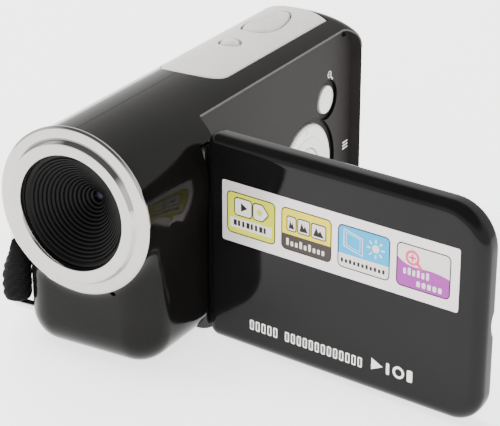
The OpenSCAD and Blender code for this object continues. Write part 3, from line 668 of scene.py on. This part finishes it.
def polish(mesh):
    """Takes the outer skin's shading straight from the form, and gives the recess its satin finish."""
    soften(mesh, 28)
    n = len(mesh.vertices)
    co = np.empty(n * 3)
    mesh.vertices.foreach_get("co", co)
    co = co.reshape(-1, 3) / MM
    on_skin = np.abs(form(co)) < 0.03
    normal = gradient(form, co)
    corner = np.empty(len(mesh.loops) * 3, np.float32)
    mesh.corner_normals.foreach_get("vector", corner)
    corner = corner.reshape(-1, 3)
    for poly in mesh.polygons:
        ids = list(poly.vertices)
        if not all(on_skin[i] for i in ids):
            continue
        mean = normal[ids].mean(0)
        if np.dot(mean, np.array(poly.normal)) < 0.9:
            continue
        corner[poly.loop_start:poly.loop_start + poly.loop_total] = normal[ids]
    mesh.normals_split_custom_set(corner.tolist())
    for poly in mesh.polygons:
        x, y, z = poly.center / MM
        on_floor = poly.normal[0] > 0.9 and RECESS_X - 1.0 < x < RECESS_X + 0.1 and y > -14
        on_wall = poly.normal[1] < -0.5 and x > RECESS_X - 0.1 and y > REAR_Y - 8 and z < LENS_Z + 16
        if on_floor or on_wall:
            poly.material_index = 1


make_casing()


# --- lens

def make_lens():
    ring = fillet([(13.4, 3.6), (13.4, 1.1), (13.7, 0.42), (16.1, 0.0), (16.5, 0.08), (17.05, 1.3),
                   (17.4, 1.42), (19.45, 1.72), (19.95, 2.05), (19.95, 2.5), (15.4, 2.5), (15.4, 6.0),
                   (14.6, 6.0), (14.6, 3.6)],
                  [0.1, 0.3, 0.25, 0.15, 0.15, 0.12, 0.15, 0.3, 0.12, 0.1, 0.1, 0.1, 0.1, 0.1], 5)
    add_mesh("lens_trim_ring", *lathe(ring, 1, (0, LIP_Y, LENS_Z), 256), "chrome", smooth_angle=50,
             replaces=["lens_ring"])
    ribs, throat, mouth_r, mouth, depth = 15, 1.3, 13.15, 2.4, 11.8
    face = [(14.45, mouth + 0.2), (14.45, mouth + 1.6), (12.4, mouth + 1.6), (throat + 1.0, depth + 1.15),
            (throat, depth + 1.15), (throat, depth)]
    step = (mouth_r - 0.75 - throat) / ribs
    rise = (depth - mouth) / ribs
    for i in range(ribs):
        r0, y0 = throat + i * step, depth - i * rise
        face += [(r0 + 0.04, y0 - 0.3), (r0 + step * 0.34, y0 - 0.48), (r0 + step * 0.62, y0 - 0.5),
                 (r0 + step * 0.8, y0 - 0.38), (r0 + step * 0.93, y0 - rise * 0.72)]
    face += [(mouth_r - 0.65, mouth - 0.2), (mouth_r - 0.1, mouth - 0.5), (13.3, mouth - 0.5),
             (13.3, mouth + 0.2)]
    add_mesh("ribbed_baffle", *lathe(face, 1, (0, LIP_Y, LENS_Z), 192), "baffle_black", smooth_angle=40,
             replaces=["lens_baffle"])
    glass = [(0.0, 11.9), (0.5, 11.95), (0.9, 12.1), (1.25, 12.4), (1.25, 14.2), (0.0, 14.2)]
    add_mesh("front_lens_glass", *lathe(glass, 1, (0, LIP_Y, LENS_Z), 96), "optical_glass", smooth_angle=50,
             replaces=["front_lens"])


# --- top controls

def make_top():
    panel = add_mesh("top_silver_panel", *top_patch(0.12, -1.0, 0.1, 0.5, 70, 36), "satin_silver", None)
    bool_cut(panel, [prism(egg(0.4), 2, LENS_Z, LENS_Z + 22),
                     rod(2, (0, POWER_Y), POWER_R + 0.42, LENS_Z, LENS_Z + 22, 64)])
    soften(panel.data, 32)
    ride(panel, "casing", ["top_panel"])

    # Record button: loops drawn in from its edge to its middle, with shallow seeded bumps
    rng = np.random.default_rng(7)
    bump_count, bump_r, crown = 150, 0.42, 0.45
    outline = np.array(egg(0.0, 120))
    centre = np.array([0, RECORD_Y + 1.2])
    shares = [1.0, 1.0, 0.985, 0.95, 0.9, 0.84] + list(np.linspace(0.78, 0.04, 26))
    lift = [-3.2, -0.6, -0.2, 0.12, 0.34, crown]
    bumps = rng.uniform(-1, 1, (bump_count, 2)) * [4.0, 8.4] + centre
    height = rng.uniform(0.05, 0.3, bump_count)
    loops = []
    for k, share in enumerate(shares):
        loop = []
        for p in outline:
            q = centre + (p - centre) * share
            base = math.sqrt(BARREL_R ** 2 - q[0] ** 2) + LENS_Z
            add = lift[k] if k < len(lift) else crown + 0.18 * (1 - share)
            if 0.05 < share < 0.8:
                d = np.hypot(*(bumps - q).T)
                add += float((height * np.exp(-(d / bump_r) ** 2)).max()) * min(1, (0.82 - share) * 8)
            loop.append((q[0], q[1], min(base + add, HIGHEST_Z)))
        loops.append(loop)
    skirt = [(x * 1.06, y, BARREL_TOP_Z - 4.6) for x, y in outline]
    waist = [(x, y, BARREL_TOP_Z - 4.2) for x, y in outline]
    cap = rings([skirt, waist] + loops)
    stem = rod(2, (0, RECORD_Y), 1.3, 51.6, BARREL_TOP_Z - 4.0, 32)
    add_mesh("record_button_cap", *merge([cap, stem]), "satin_silver", "record_button", 40,
             replaces=["record_button"])
    dome = fillet([(0, 0.82), (1.1, 0.74), (2.05, 0.32), (POWER_R, -0.7), (POWER_R, -3.0), (3.4, -3.0),
                   (3.4, -4.0), (1.1, -4.0), (1.1, -6.0), (0, -6.0)], [0, 2.0, 1.0, 0.4, 0, 0, 0, 0, 0, 0], 6)
    add_mesh("power_button_cap", *lathe(dome, 2, (0, POWER_Y, BARREL_TOP_Z), 96), "satin_silver",
             "power_button", 50, replaces=["power_button"])


# --- side controls

def make_keys():
    face = RECESS_X - 0.1
    side = fillet([(0, face + 0.12), (2.0, face + 0.08), (BUTTON_R, face - 0.1), (BUTTON_R, face - 1.9),
                   (4.45, face - 1.9), (4.45, face - 2.7), (1.1, face - 2.7), (1.1, SWITCH_X), (0, SWITCH_X)],
                  [0, 1.5, 0.35, 0, 0.1, 0.1, 0, 0, 0])
    add_mesh("side_button_cap", *lathe(side, 0, (0, *BUTTON_AT), 128), "button_silver", "side_button", 45,
             replaces=["side_button"])
    ring = fillet([(6.75, face - 0.05), (7.5, face + 0.02), (9.4, face + 0.02), (9.6, face - 0.1),
                   (9.8, face + 0.02), (12.3, face - 0.02), (PAD_R, face - 0.35), (PAD_R, face - 1.9),
                   (13.6, face - 1.9), (13.6, face - 2.7), (7.4, face - 2.7), (7.4, face - 1.9),
                   (6.75, face - 1.9)],
                  [0.25, 0.3, 0.05, 0.08, 0.05, 0.6, 0.4, 0, 0.1, 0.1, 0, 0, 0])
    parts = [lathe(ring, 0, (0, *PAD_AT), 192)]
    for k in range(4):
        t = math.radians(90 * k)
        c = (PAD_AT[0] + 11.1 * math.cos(t), PAD_AT[1] + 11.1 * math.sin(t))
        arrow = [(c[0] + r * math.cos(t + a), c[1] + r * math.sin(t + a))
                 for r, a in ((0.75, 0), (0.75, 2.2), (0.2, math.pi), (0.75, -2.2))]
        parts.append(prism(arrow, 0, face - 0.3, face + 0.1))
        at = (PAD_AT[0] + 9.6 * math.cos(t), PAD_AT[1] + 9.6 * math.sin(t))
        parts.append(rod(0, at, 1.1, SWITCH_X, face - 2.5, 32))
    add_mesh("four_way_pad_ring", *merge(parts), "button_silver", "four_way_pad", 45,
             replaces=["four_way_pad"])
    ok = fillet([(0, face + 0.1), (4.5, face + 0.06), (OK_R, face - 0.25), (OK_R, face - 1.9),
                 (7.2, face - 1.9), (7.2, face - 3.2), (1.3, face - 3.2), (1.3, SWITCH_X), (0, SWITCH_X)],
                [0, 2.0, 0.5, 0, 0.1, 0.1, 0, 0, 0])
    add_mesh("ok_button_cap", *lathe(ok, 0, (0, *PAD_AT), 144), "button_silver", "ok_button", 45,
             replaces=["ok_button"])


def tube_path(points, r, sides=10, closed=False):
    """A thin round bar along a path of points."""
    pts = [np.array(p, float) for p in points]
    n = len(pts)
    loops = []
    ref = None
    for i, p in enumerate(pts):
        a = pts[i - 1] if (i or closed) else p
        b = pts[(i + 1) % n] if (i < n - 1 or closed) else p
        d = (b - a) / np.linalg.norm(b - a)
        if ref is None:
            ref = np.cross(d, [0, 0, 1.0]) if abs(d[2]) < 0.9 else np.cross(d, [0, 1.0, 0])
        ref = ref - d * (ref @ d)
        ref /= np.linalg.norm(ref)
        other = np.cross(d, ref)
        loops.append([tuple(p + r * (ref * math.cos(t) + other * math.sin(t)))
                      for t in [2 * math.pi * k / sides for k in range(sides)]])
    if closed:
        loops.append(loops[0])
        return rings(loops, False)
    return rings(loops)


def make_recess_details():
    # A bead in a lighter grey than the casing runs along the recess's upper edge and round its rear corner:
    # its colour is a painted highlight
    path = [(y, RECESS_TOP) for y in np.linspace(RECESS_FRONT + 0.2, RECESS_REAR - RECESS_R, 60)]
    path += [(RECESS_REAR - RECESS_R * (1 - math.sin(t)), RECESS_TOP - RECESS_R * (1 - math.cos(t)))
             for t in np.linspace(0.05, 1.5, 24)]
    spots = []
    for y, z in path:
        p = cast(form, np.array([[0.0, y, z]]), np.array([[1.0, 0, 0]]), 30.0)[0]
        spots.append((p[0] - 0.12, y, z - 0.02))
    add_mesh("recess_edge_bead", *tube_path(spots, 0.24), "ledge_satin")
    # A magnifier above the small button, and a three-bar menu sign behind the pad
    y, z = 51.3, 42.2
    ring = tube_path([(RECESS_X, y + 0.85 * math.cos(t), z + 0.85 * math.sin(t))
                      for t in np.linspace(0, 2 * math.pi, 33)[:-1]], 0.13, 8, True)
    handle = tube_path([(RECESS_X, y + 0.65 + 0.25 * k, z - 0.65 - 0.25 * k) for k in range(5)], 0.2, 8)
    bar = tube_path([(RECESS_X, y - 0.4 + 0.2 * k, z) for k in range(5)], 0.1, 8)
    marks = [ring, handle, bar]
    for k in range(3):
        marks.append(prism(round_rect((59.4, 18.3 + 0.85 * k), (62.2, 18.75 + 0.85 * k), [0.2] * 4, 4), 0,
                           RECESS_X - 0.02, RECESS_X + 0.05))
    add_mesh("printed_key_marks", *merge(marks), "print_white")
    clip = fillet([(0, 0), (0.9, 0), (0.9, 0.5), (0.55, 0.8), (0, 0.8)], 0.2, 4)
    lug = prism([(58.0 + a * 1.8, 50.4 + b * 1.2) for a, b in clip], 0, RECESS_X - 0.1, RECESS_X + 0.3)
    add_mesh("recess_catch_lug", *lug, "casing_black")


# --- screen panel, built closed about its hinge

NEAR, LENGTH, LOW, HEIGHT = 3.2, 73.8, 0.6, 51.2
OUT_X, IN_X, SPLIT_X = 3.3, -2.8, -0.6
CORNERS = [3, 7.5, 10.5, 2.5]


def to_world(points):
    """Turns points from the closed screen about its hinge to where the screen stands in the frame."""
    a = math.radians(OPEN_ANGLE)
    p = np.asarray(points, float)
    return np.stack([HINGE[0] + p[:, 0] * math.cos(a) - p[:, 1] * math.sin(a),
                     HINGE[1] + p[:, 0] * math.sin(a) + p[:, 1] * math.cos(a), p[:, 2]], 1)


def panel_loop(inset, x, steps=12):
    """The screen panel's outline, drawn in by an inset, at a distance x from the hinge."""
    r = [max(c - inset, 0.4) for c in CORNERS]
    flat = round_rect((NEAR + inset, LOW + inset), (NEAR + LENGTH - inset, LOW + HEIGHT - inset), r, steps)
    return [(x, y, z) for y, z in flat]


def scoop(n=48):
    """A ball that cuts the fingernail scoop into the panel's free edge."""
    c, r = (IN_X - 3.4, NEAR + LENGTH + 6.4, LENS_Z - 14.5), 8.5
    profile = [(r * math.sin(math.pi * k / n), -r * math.cos(math.pi * k / n)) for k in range(n + 1)]
    return lathe([(max(a, 0), b) for a, b in profile[:-1]] + [(0, r)], 2, c, 64)


def notch():
    """Room for the hinge leaf."""
    return block((-1.35, NEAR - 1, LENS_Z - 29.9), (1.35, NEAR + 6.5, LENS_Z - 3.1))


def put_on_screen(obj, replaces=()):
    mesh = obj.data
    co = np.empty(len(mesh.vertices) * 3)
    mesh.vertices.foreach_get("co", co)
    mesh.vertices.foreach_set("co", (to_world(co.reshape(-1, 3) / MM) * MM).ravel())
    mesh.update()
    ride(obj, "screen", replaces)


def make_screen():
    edge_in, edge_up, edge_steps = 3.0, 2.75, 12
    loops = [panel_loop(1.5, OUT_X - 1.5), panel_loop(1.5, SPLIT_X), panel_loop(0.12, SPLIT_X),
             panel_loop(0.0, SPLIT_X + 0.15)]
    for k in range(edge_steps + 1):
        t = math.pi / 2 * k / edge_steps
        loops.append(panel_loop(edge_in * (1 - math.cos(t)), OUT_X - edge_up + edge_up * math.sin(t)))
    loops += [panel_loop(3.3, OUT_X), panel_loop(3.8, OUT_X)]
    cover = add_mesh("screen_back_cover", *rings(loops), "screen_black", None)
    bool_cut(cover, [scoop(), notch()], False)
    soften(cover.data, 24)
    put_on_screen(cover, ["screen_cover"])

    step_in, edge_r, edge_steps = 0.25, 1.1, 8
    body = [panel_loop(step_in, SPLIT_X), panel_loop(step_in, IN_X + edge_r)]
    for k in range(1, edge_steps + 1):
        t = math.pi / 2 * k / edge_steps
        body.append(panel_loop(edge_r * (1 - math.cos(t)) + step_in, IN_X + edge_r - edge_r * math.sin(t)))
    body += [panel_loop(1.4 + step_in, IN_X), panel_loop(2.0 + step_in, IN_X)]
    bezel = add_mesh("screen_front_bezel", *rings(body), "screen_black", None)
    wy, wz = NEAR + 12, LOW + 5.6
    cuts = [prism(round_rect((wy, wz), (wy + 50, wz + 40), [1.5] * 4), 0, IN_X - 1, IN_X + 0.9),
            prism(round_rect((wy + 2, wz + 2), (wy + 48, wz + 38), [0.5] * 4), 0, IN_X - 1, SPLIT_X + 1),
            notch(), scoop()]
    for at in [(NEAR + 6, 5), (NEAR + 6, 46), (NEAR + LENGTH - 6, 9)]:
        cuts.append(rod(0, at, 1.5, IN_X - 1, IN_X + 0.9, 32))
    bool_cut(bezel, cuts)
    soften(bezel.data, 28)
    put_on_screen(bezel, ["screen_bezel"])


def drawn_in(outline, width):
    """An outline drawn in by a width, or let out by a negative one."""
    pts = np.array(outline, float)
    d1 = pts - np.roll(pts, 1, 0)
    d2 = np.roll(pts, -1, 0) - pts
    d1 /= np.maximum(np.linalg.norm(d1, axis=1, keepdims=True), 1e-9)
    d2 /= np.maximum(np.linalg.norm(d2, axis=1, keepdims=True), 1e-9)
    t = d1 + d2
    t /= np.maximum(np.linalg.norm(t, axis=1, keepdims=True), 1e-9)
    inner = pts + np.stack([-t[:, 1], t[:, 0]], 1) * width
    return [tuple(p) for p in inner]


def band_prism(outline, width, low, high):
    """A closed band of a width inside an outline, pushed along X."""
    n = len(outline)
    points = [(x, *p) for x in (low, high) for p in list(outline) + drawn_in(outline, width)]
    faces = []
    for i in range(n):
        j = (i + 1) % n
        faces += [[2 * n + i, 2 * n + j, 3 * n + j, 3 * n + i], [j, i, n + i, n + j],
                  [i, j, 2 * n + j, 2 * n + i], [n + j, n + i, 3 * n + i, 3 * n + j]]
    return points, faces


def below(outline, z_cut):
    """The part of an outline below a height."""
    out = []
    for p, q in zip(outline, outline[1:] + outline[:1]):
        if p[1] <= z_cut:
            out.append(p)
        if (p[1] <= z_cut) != (q[1] <= z_cut):
            t = (z_cut - p[1]) / (q[1] - p[1])
            out.append((p[0] + t * (q[0] - p[0]), z_cut))
    return out


def make_label():
    """The foil label with four tiles of generic pictures, and a row of blank frames and signs below it."""
    y0, z0, wide, tall = 8.34, LENS_Z - 11.3, 62.6, 14.85
    tile_w, tile_h, pitch, low = 13.55, 10.3, 15.2, z0 + 2.3
    lefts = [y0 + 1.35 + k * pitch for k in range(4)]
    layers = {}

    def heights(level):
        return OUT_X + 0.1 + 0.012 * level, OUT_X + 0.12 + 0.012 * level

    def lay(slot, shape, level=3):
        layers.setdefault(slot, []).append(prism(shape, 0, *heights(level)))

    def lay_band(slot, shape, width, level=3):
        layers.setdefault(slot, []).append(band_prism(shape, width, *heights(level)))

    def lay_rimmed(slot, shape, rim):
        lay("print_dark", drawn_in(shape, -rim), 3)
        lay(slot, shape, 4)

    def at(k, points):
        """Points of tile k, from its low near corner."""
        return [(lefts[k] + u, low + v) for u, v in points]

    def box(k, u0, v0, u1, v1, r=0.0, steps=3):
        if r:
            return round_rect(*at(k, [(u0, v0), (u1, v1)]), [r] * 4, steps)
        return at(k, [(u0, v0), (u1, v0), (u1, v1), (u0, v1)])

    foil = add_mesh("label_foil_sheet", *prism(round_rect((y0, z0), (y0 + wide, z0 + tall), [0.6] * 4), 0,
                                               OUT_X, OUT_X + 0.11), "label_foil", None)
    put_on_screen(foil, ["feature_label"])

    # Tile grounds, each with a band of another colour and a dark edge
    tiles = [box(k, 0, 0, tile_w, tile_h, 1.3, 8) for k in range(4)]
    wave = []
    for i in range(25):
        s = i / 24
        wave.append((tile_w * s, 4.4 + 3.4 * (1 - s) ** 4 + 0.75 * math.sin(s * 4.6 - 1.4) + 0.3 * s))
    grounds = [
        ("print_lime", "print_pale", [box(0, 0.9, 1.5, tile_w - 1.0, 4.0)]),
        ("print_yellow", "print_brown", [below(tiles[1], low + 3.9)]),
        ("print_cyan", "print_pale", [below(tiles[2], low + 3.4)]),
        ("print_pale", "print_purple",
         [below(tiles[3], low + 3.0), at(3, [(0.02, 2.95), (tile_w - 0.02, 2.95)] + wave[::-1])]),
    ]
    for tile, (ground, second, shapes) in zip(tiles, grounds):
        lay(ground, tile, 0)
        for shape in shapes:
            lay(second, shape, 1)
        lay_band("print_dark", tile, 0.26, 2)

    # Tile 1: a film frame with a play mark, and a row of small bars in the pale band
    lay_rimmed("print_pale", box(0, 2.3, 4.9, 6.9, 8.9, 0.7, 5), 0.28)
    lay("print_dark", at(0, [(4.0, 5.8), (5.8, 6.9), (4.0, 8.0)]), 5)
    tag = at(0, [(7.5, 5.0), (9.9, 5.0), (11.6, 6.9), (9.9, 8.8), (7.5, 8.8)])
    lay_rimmed("print_pale", fillet(tag, 0.7, 5), 0.28)
    lay("print_lime", circle(lefts[0] + 9.2, low + 6.9, 0.75, 32), 5)
    for i in range(8):
        u = 1.9 + 1.2 * i
        lay("print_dark", box(0, u, 2.1, u + (0.62 if i % 3 else 0.9), 3.5))
    # Tile 2: three pictures of mountains, and light bars in the dark band
    for u, w in ((1.7, 2.2), (4.6, 3.0), (8.3, 3.6)):
        lay_rimmed("print_pale", box(1, u, 5.0, u + w, 8.2, 0.35, 5), 0.26)
        lay("print_dark", at(1, [(u + 0.35, 5.4), (u + w - 0.35, 5.4), (u + w * 0.62, 7.0), (u + w * 0.5, 6.3),
                                 (u + w * 0.32, 7.5)]), 5)
    for i in range(9):
        u = 1.4 + 1.2 * i
        lay("print_pale", box(1, u, 1.2, u + 0.7, 2.9 if i in (0, 3, 5) else 2.35, 0.18))
    # Tile 3: a tilted screen in outline beside a sun, and small bars in the pale band
    lay_band("print_pale", at(2, [(1.5, 5.2), (6.6, 3.9), (6.6, 8.2), (1.5, 9.5)]), 0.34)
    lay_band("print_pale", at(2, [(2.2, 5.65), (5.9, 4.7), (5.9, 7.85), (2.2, 8.75)]), 0.2)
    lay("print_pale", circle(lefts[2] + 9.9, low + 6.7, 0.95, 40))
    for i in range(8):
        c, s = math.cos(math.pi / 4 * i), math.sin(math.pi / 4 * i)
        lay("print_pale", at(2, [(9.9 + r * c - w * s, 6.7 + r * s + w * c)
                                 for r, w in ((1.4, -0.2), (2.3, -0.2), (2.3, 0.2), (1.4, 0.2))]))
    for i in range(11):
        u = 0.9 + 1.08 * i
        lay("print_dark", box(2, u, 1.3, u + 0.6, 2.3 - 0.15 * (i % 2), 0.12))
    # Tile 4: a magnifier over the wave, with light bars below
    lay_band("print_rose", circle(lefts[3] + 4.0, low + 7.3, 1.75, 40), 0.55)
    lay("print_rose", at(3, [(5.0, 6.0), (6.2, 4.8), (6.7, 5.3), (5.5, 6.5)]))
    lay("print_rose", box(3, 3.1, 7.1, 4.9, 7.5))
    lay("print_rose", box(3, 3.8, 6.4, 4.2, 8.2))
    for i in range(6):
        u = 1.8 + 1.15 * i
        lay("print_pale", box(3, u, 3.1, u + 0.7, 4.5 + 0.3 * (i % 2), 0.18))
    for i in range(5):
        u = 5.2 + 1.35 * i
        lay("print_pale", box(3, u, 0.9, u + 0.9, 2.2, 0.25))

    # Blank frames along the low edge of the cover, then a play sign, a bar, a circle and a wide bar
    frame_count, gap_at, frame_pitch, frame_w = 19, 5, 1.66, 1.16
    print_heights = (OUT_X - 0.02, OUT_X + 0.03)
    white = layers.setdefault("print_white", [])
    for i in range(frame_count):
        if i == gap_at:
            continue
        y = 16.1 + frame_pitch * i
        white.append(band_prism(round_rect((y, 6.2), (y + frame_w, 8.7), [0.3] * 4, 4), 0.36, *print_heights))
    white.append(prism([(49.6, 6.7), (52.6, 8.15), (49.6, 9.6)], 0, *print_heights))
    white.append(band_prism(circle(56.7, 8.15, 1.5, 40), 0.6, *print_heights))
    for y_low, y_high, r in ((58.9, 60.3, 0.35), (53.5, 54.3, 0.3)):
        white.append(prism(round_rect((y_low, 6.7), (y_high, 9.6), [r] * 4, 4), 0, *print_heights))
    for slot, parts in layers.items():
        put_on_screen(add_mesh("cover_" + slot, *merge(parts), slot, None))


# --- hand strap

def strap_path():
    """The strap's middle line in plan, from the front loop to the rear one, and the length along it."""
    r, turn, steps = STRAP_LOOP_R, 250, 25
    pts = []
    for k in range(steps + 1):
        t = math.radians(70 - turn * k / steps)
        pts.append((STRAP_X + r * math.cos(t), STRAP_FRONT_Y + r * math.sin(t)))
    for k in range(1, 90):
        s = k / 90
        pts.append((STRAP_X - r - STRAP_ARCH * math.sin(math.pi * s) ** STRAP_ARCH_POWER,
                    STRAP_FRONT_Y + (STRAP_REAR_Y - STRAP_FRONT_Y) * s))
    for k in range(steps + 1):
        t = math.radians(180 - turn * k / steps)
        pts.append((STRAP_X + r * math.cos(t), STRAP_REAR_Y + r * math.sin(t)))
    p = np.array(pts)
    seg = np.r_[0, np.cumsum(np.hypot(*np.diff(p, axis=0).T))]
    s = np.linspace(0, seg[-1], 520)
    q = np.stack([np.interp(s, seg, p[:, 0]), np.interp(s, seg, p[:, 1])], 1)
    kernel = np.exp(-np.linspace(-2, 2, 13) ** 2)
    kernel /= kernel.sum()
    pad = np.pad(q, ((6, 6), (0, 0)), "edge")
    q = np.stack([np.convolve(pad[:, k], kernel, "valid") for k in range(2)], 1)
    return q, s


def make_strap():
    """Ribbed webbing, whose upper edge leans towards the casing at the front loop."""
    thick_half, rib_height, rib_pitch = 0.95, 0.19, 1.7
    lean_x, lean = -17.6, 0.5
    q, s = strap_path()
    d = np.gradient(q, axis=0)
    d /= np.linalg.norm(d, axis=1, keepdims=True)
    normal = np.stack([-d[:, 1], d[:, 0]], 1)
    zs = np.linspace(STRAP_LOW, STRAP_HIGH, 54)
    near = np.exp(-((q[:, 1] - STRAP_FRONT_Y) / 8.0) ** 2)
    grids = []
    for side in (1, -1):
        grid = np.zeros((len(q), len(zs), 3))
        for j, z in enumerate(zs):
            e = (z - (STRAP_LOW + STRAP_HIGH) / 2) / ((STRAP_HIGH - STRAP_LOW) / 2)
            half = thick_half * max(0.0, 1 - abs(e) ** 10) ** 0.5
            phase = (s * 0.7 + (z - STRAP_LOW) * 0.7) * 2 * math.pi / rib_pitch
            rib = rib_height * np.sin(phase) * (1 - abs(e) ** 6)
            lift = side * half + (rib if side > 0 else rib * 0.6)
            grid[:, j, 0] = q[:, 0] + normal[:, 0] * lift
            grid[:, j, 1] = q[:, 1] + normal[:, 1] * lift
            grid[:, j, 2] = z
            pull = lean * near * smooth_step(14.0, STRAP_HIGH, z)
            grid[:, j, 0] += (lean_x - grid[:, j, 0]) * pull
        grids.append(grid.reshape(-1, 3))
    add_mesh("webbing_hand_strap", np.concatenate(grids), sheet_faces(len(q), len(zs)), "strap_black",
             smooth_angle=60, replaces=["hand_strap"])


make_lens()
make_top()
make_keys()
make_recess_details()
make_screen()
make_label()
make_strap()


# --- stage

def make_stage():
    """A plain pale floor, and a plain studio world: bright round the horizon and dim overhead and in front."""
    bpy.ops.mesh.primitive_plane_add(size=6.0, location=(0, 0, 0))
    floor = bpy.context.object
    floor.name = "studio_floor"
    mat, tree, bsdf = node_material("studio_floor")
    noise = add_node(tree, "TexNoise", Scale=3.0)
    color = color_ramp(tree, noise.outputs["Fac"], (0.86, 0.86, 0.86), (0.90, 0.90, 0.90))
    tree.links.new(color, bsdf.inputs["Base Color"])
    set_inputs(bsdf, Roughness=0.9, Specular_IOR_Level=0.0, Emission_Color=(1, 1, 0.99, 1),
               Emission_Strength=1.9)
    floor.data.materials.append(mat)

    world = bpy.data.worlds.new("studio")
    bpy.context.scene.world = world
    world.use_nodes = True
    tree = world.node_tree
    background = tree.nodes["Background"]
    set_inputs(background, Strength=1.0)
    split = add_node(tree, "SeparateXYZ")
    tree.links.new(add_node(tree, "TexCoord").outputs["Generated"], split.inputs["Vector"])
    lean = add_node(tree, "Math")
    lean.operation = "MULTIPLY_ADD"
    lean.inputs[1].default_value = -0.3
    tree.links.new(split.outputs["Y"], lean.inputs[0])
    tree.links.new(split.outputs["Z"], lean.inputs[2])
    sky = color_ramp(tree, lean.outputs["Value"], (1.7, 1.69, 1.66), (0.22, 0.22, 0.22), (0.50, 0.74))
    tree.links.new(sky, background.inputs["Color"])


def area_light(name, place, target, size, power):
    """A soft light that lights the object but shows in no reflection."""
    data = bpy.data.lights.new(name, "AREA")
    data.shape = "RECTANGLE"
    data.size, data.size_y = size
    data.energy = power
    obj = bpy.data.objects.new(name, data)
    bpy.context.collection.objects.link(obj)
    obj.location = place
    obj.rotation_euler = (Vector(target) - Vector(place)).to_track_quat("-Z", "Y").to_euler()
    obj.visible_glossy = False


def make_camera():
    data = bpy.data.cameras.new("camera")
    data.sensor_width = 36.0
    data.lens = 138.07
    data.clip_start, data.clip_end = 0.01, 20
    obj = bpy.data.objects.new("camera", data)
    bpy.context.collection.objects.link(obj)
    place = Vector((0.2288, -0.3614, 0.2126))
    aim = Vector((0.0345, -0.0277, 0.0388))
    obj.location = place
    obj.rotation_euler = (aim - place).to_track_quat("-Z", "Y").to_euler()
    bpy.context.scene.camera = obj


make_stage()
area_light("key_softbox", (-0.35, 0.1, 0.85), (0, 0, 0.03), (1.0, 0.9), 19.0)
area_light("front_softbox", (0.25, -0.75, 0.45), (0.02, 0, 0.03), (0.7, 0.5), 6.5)
make_camera()
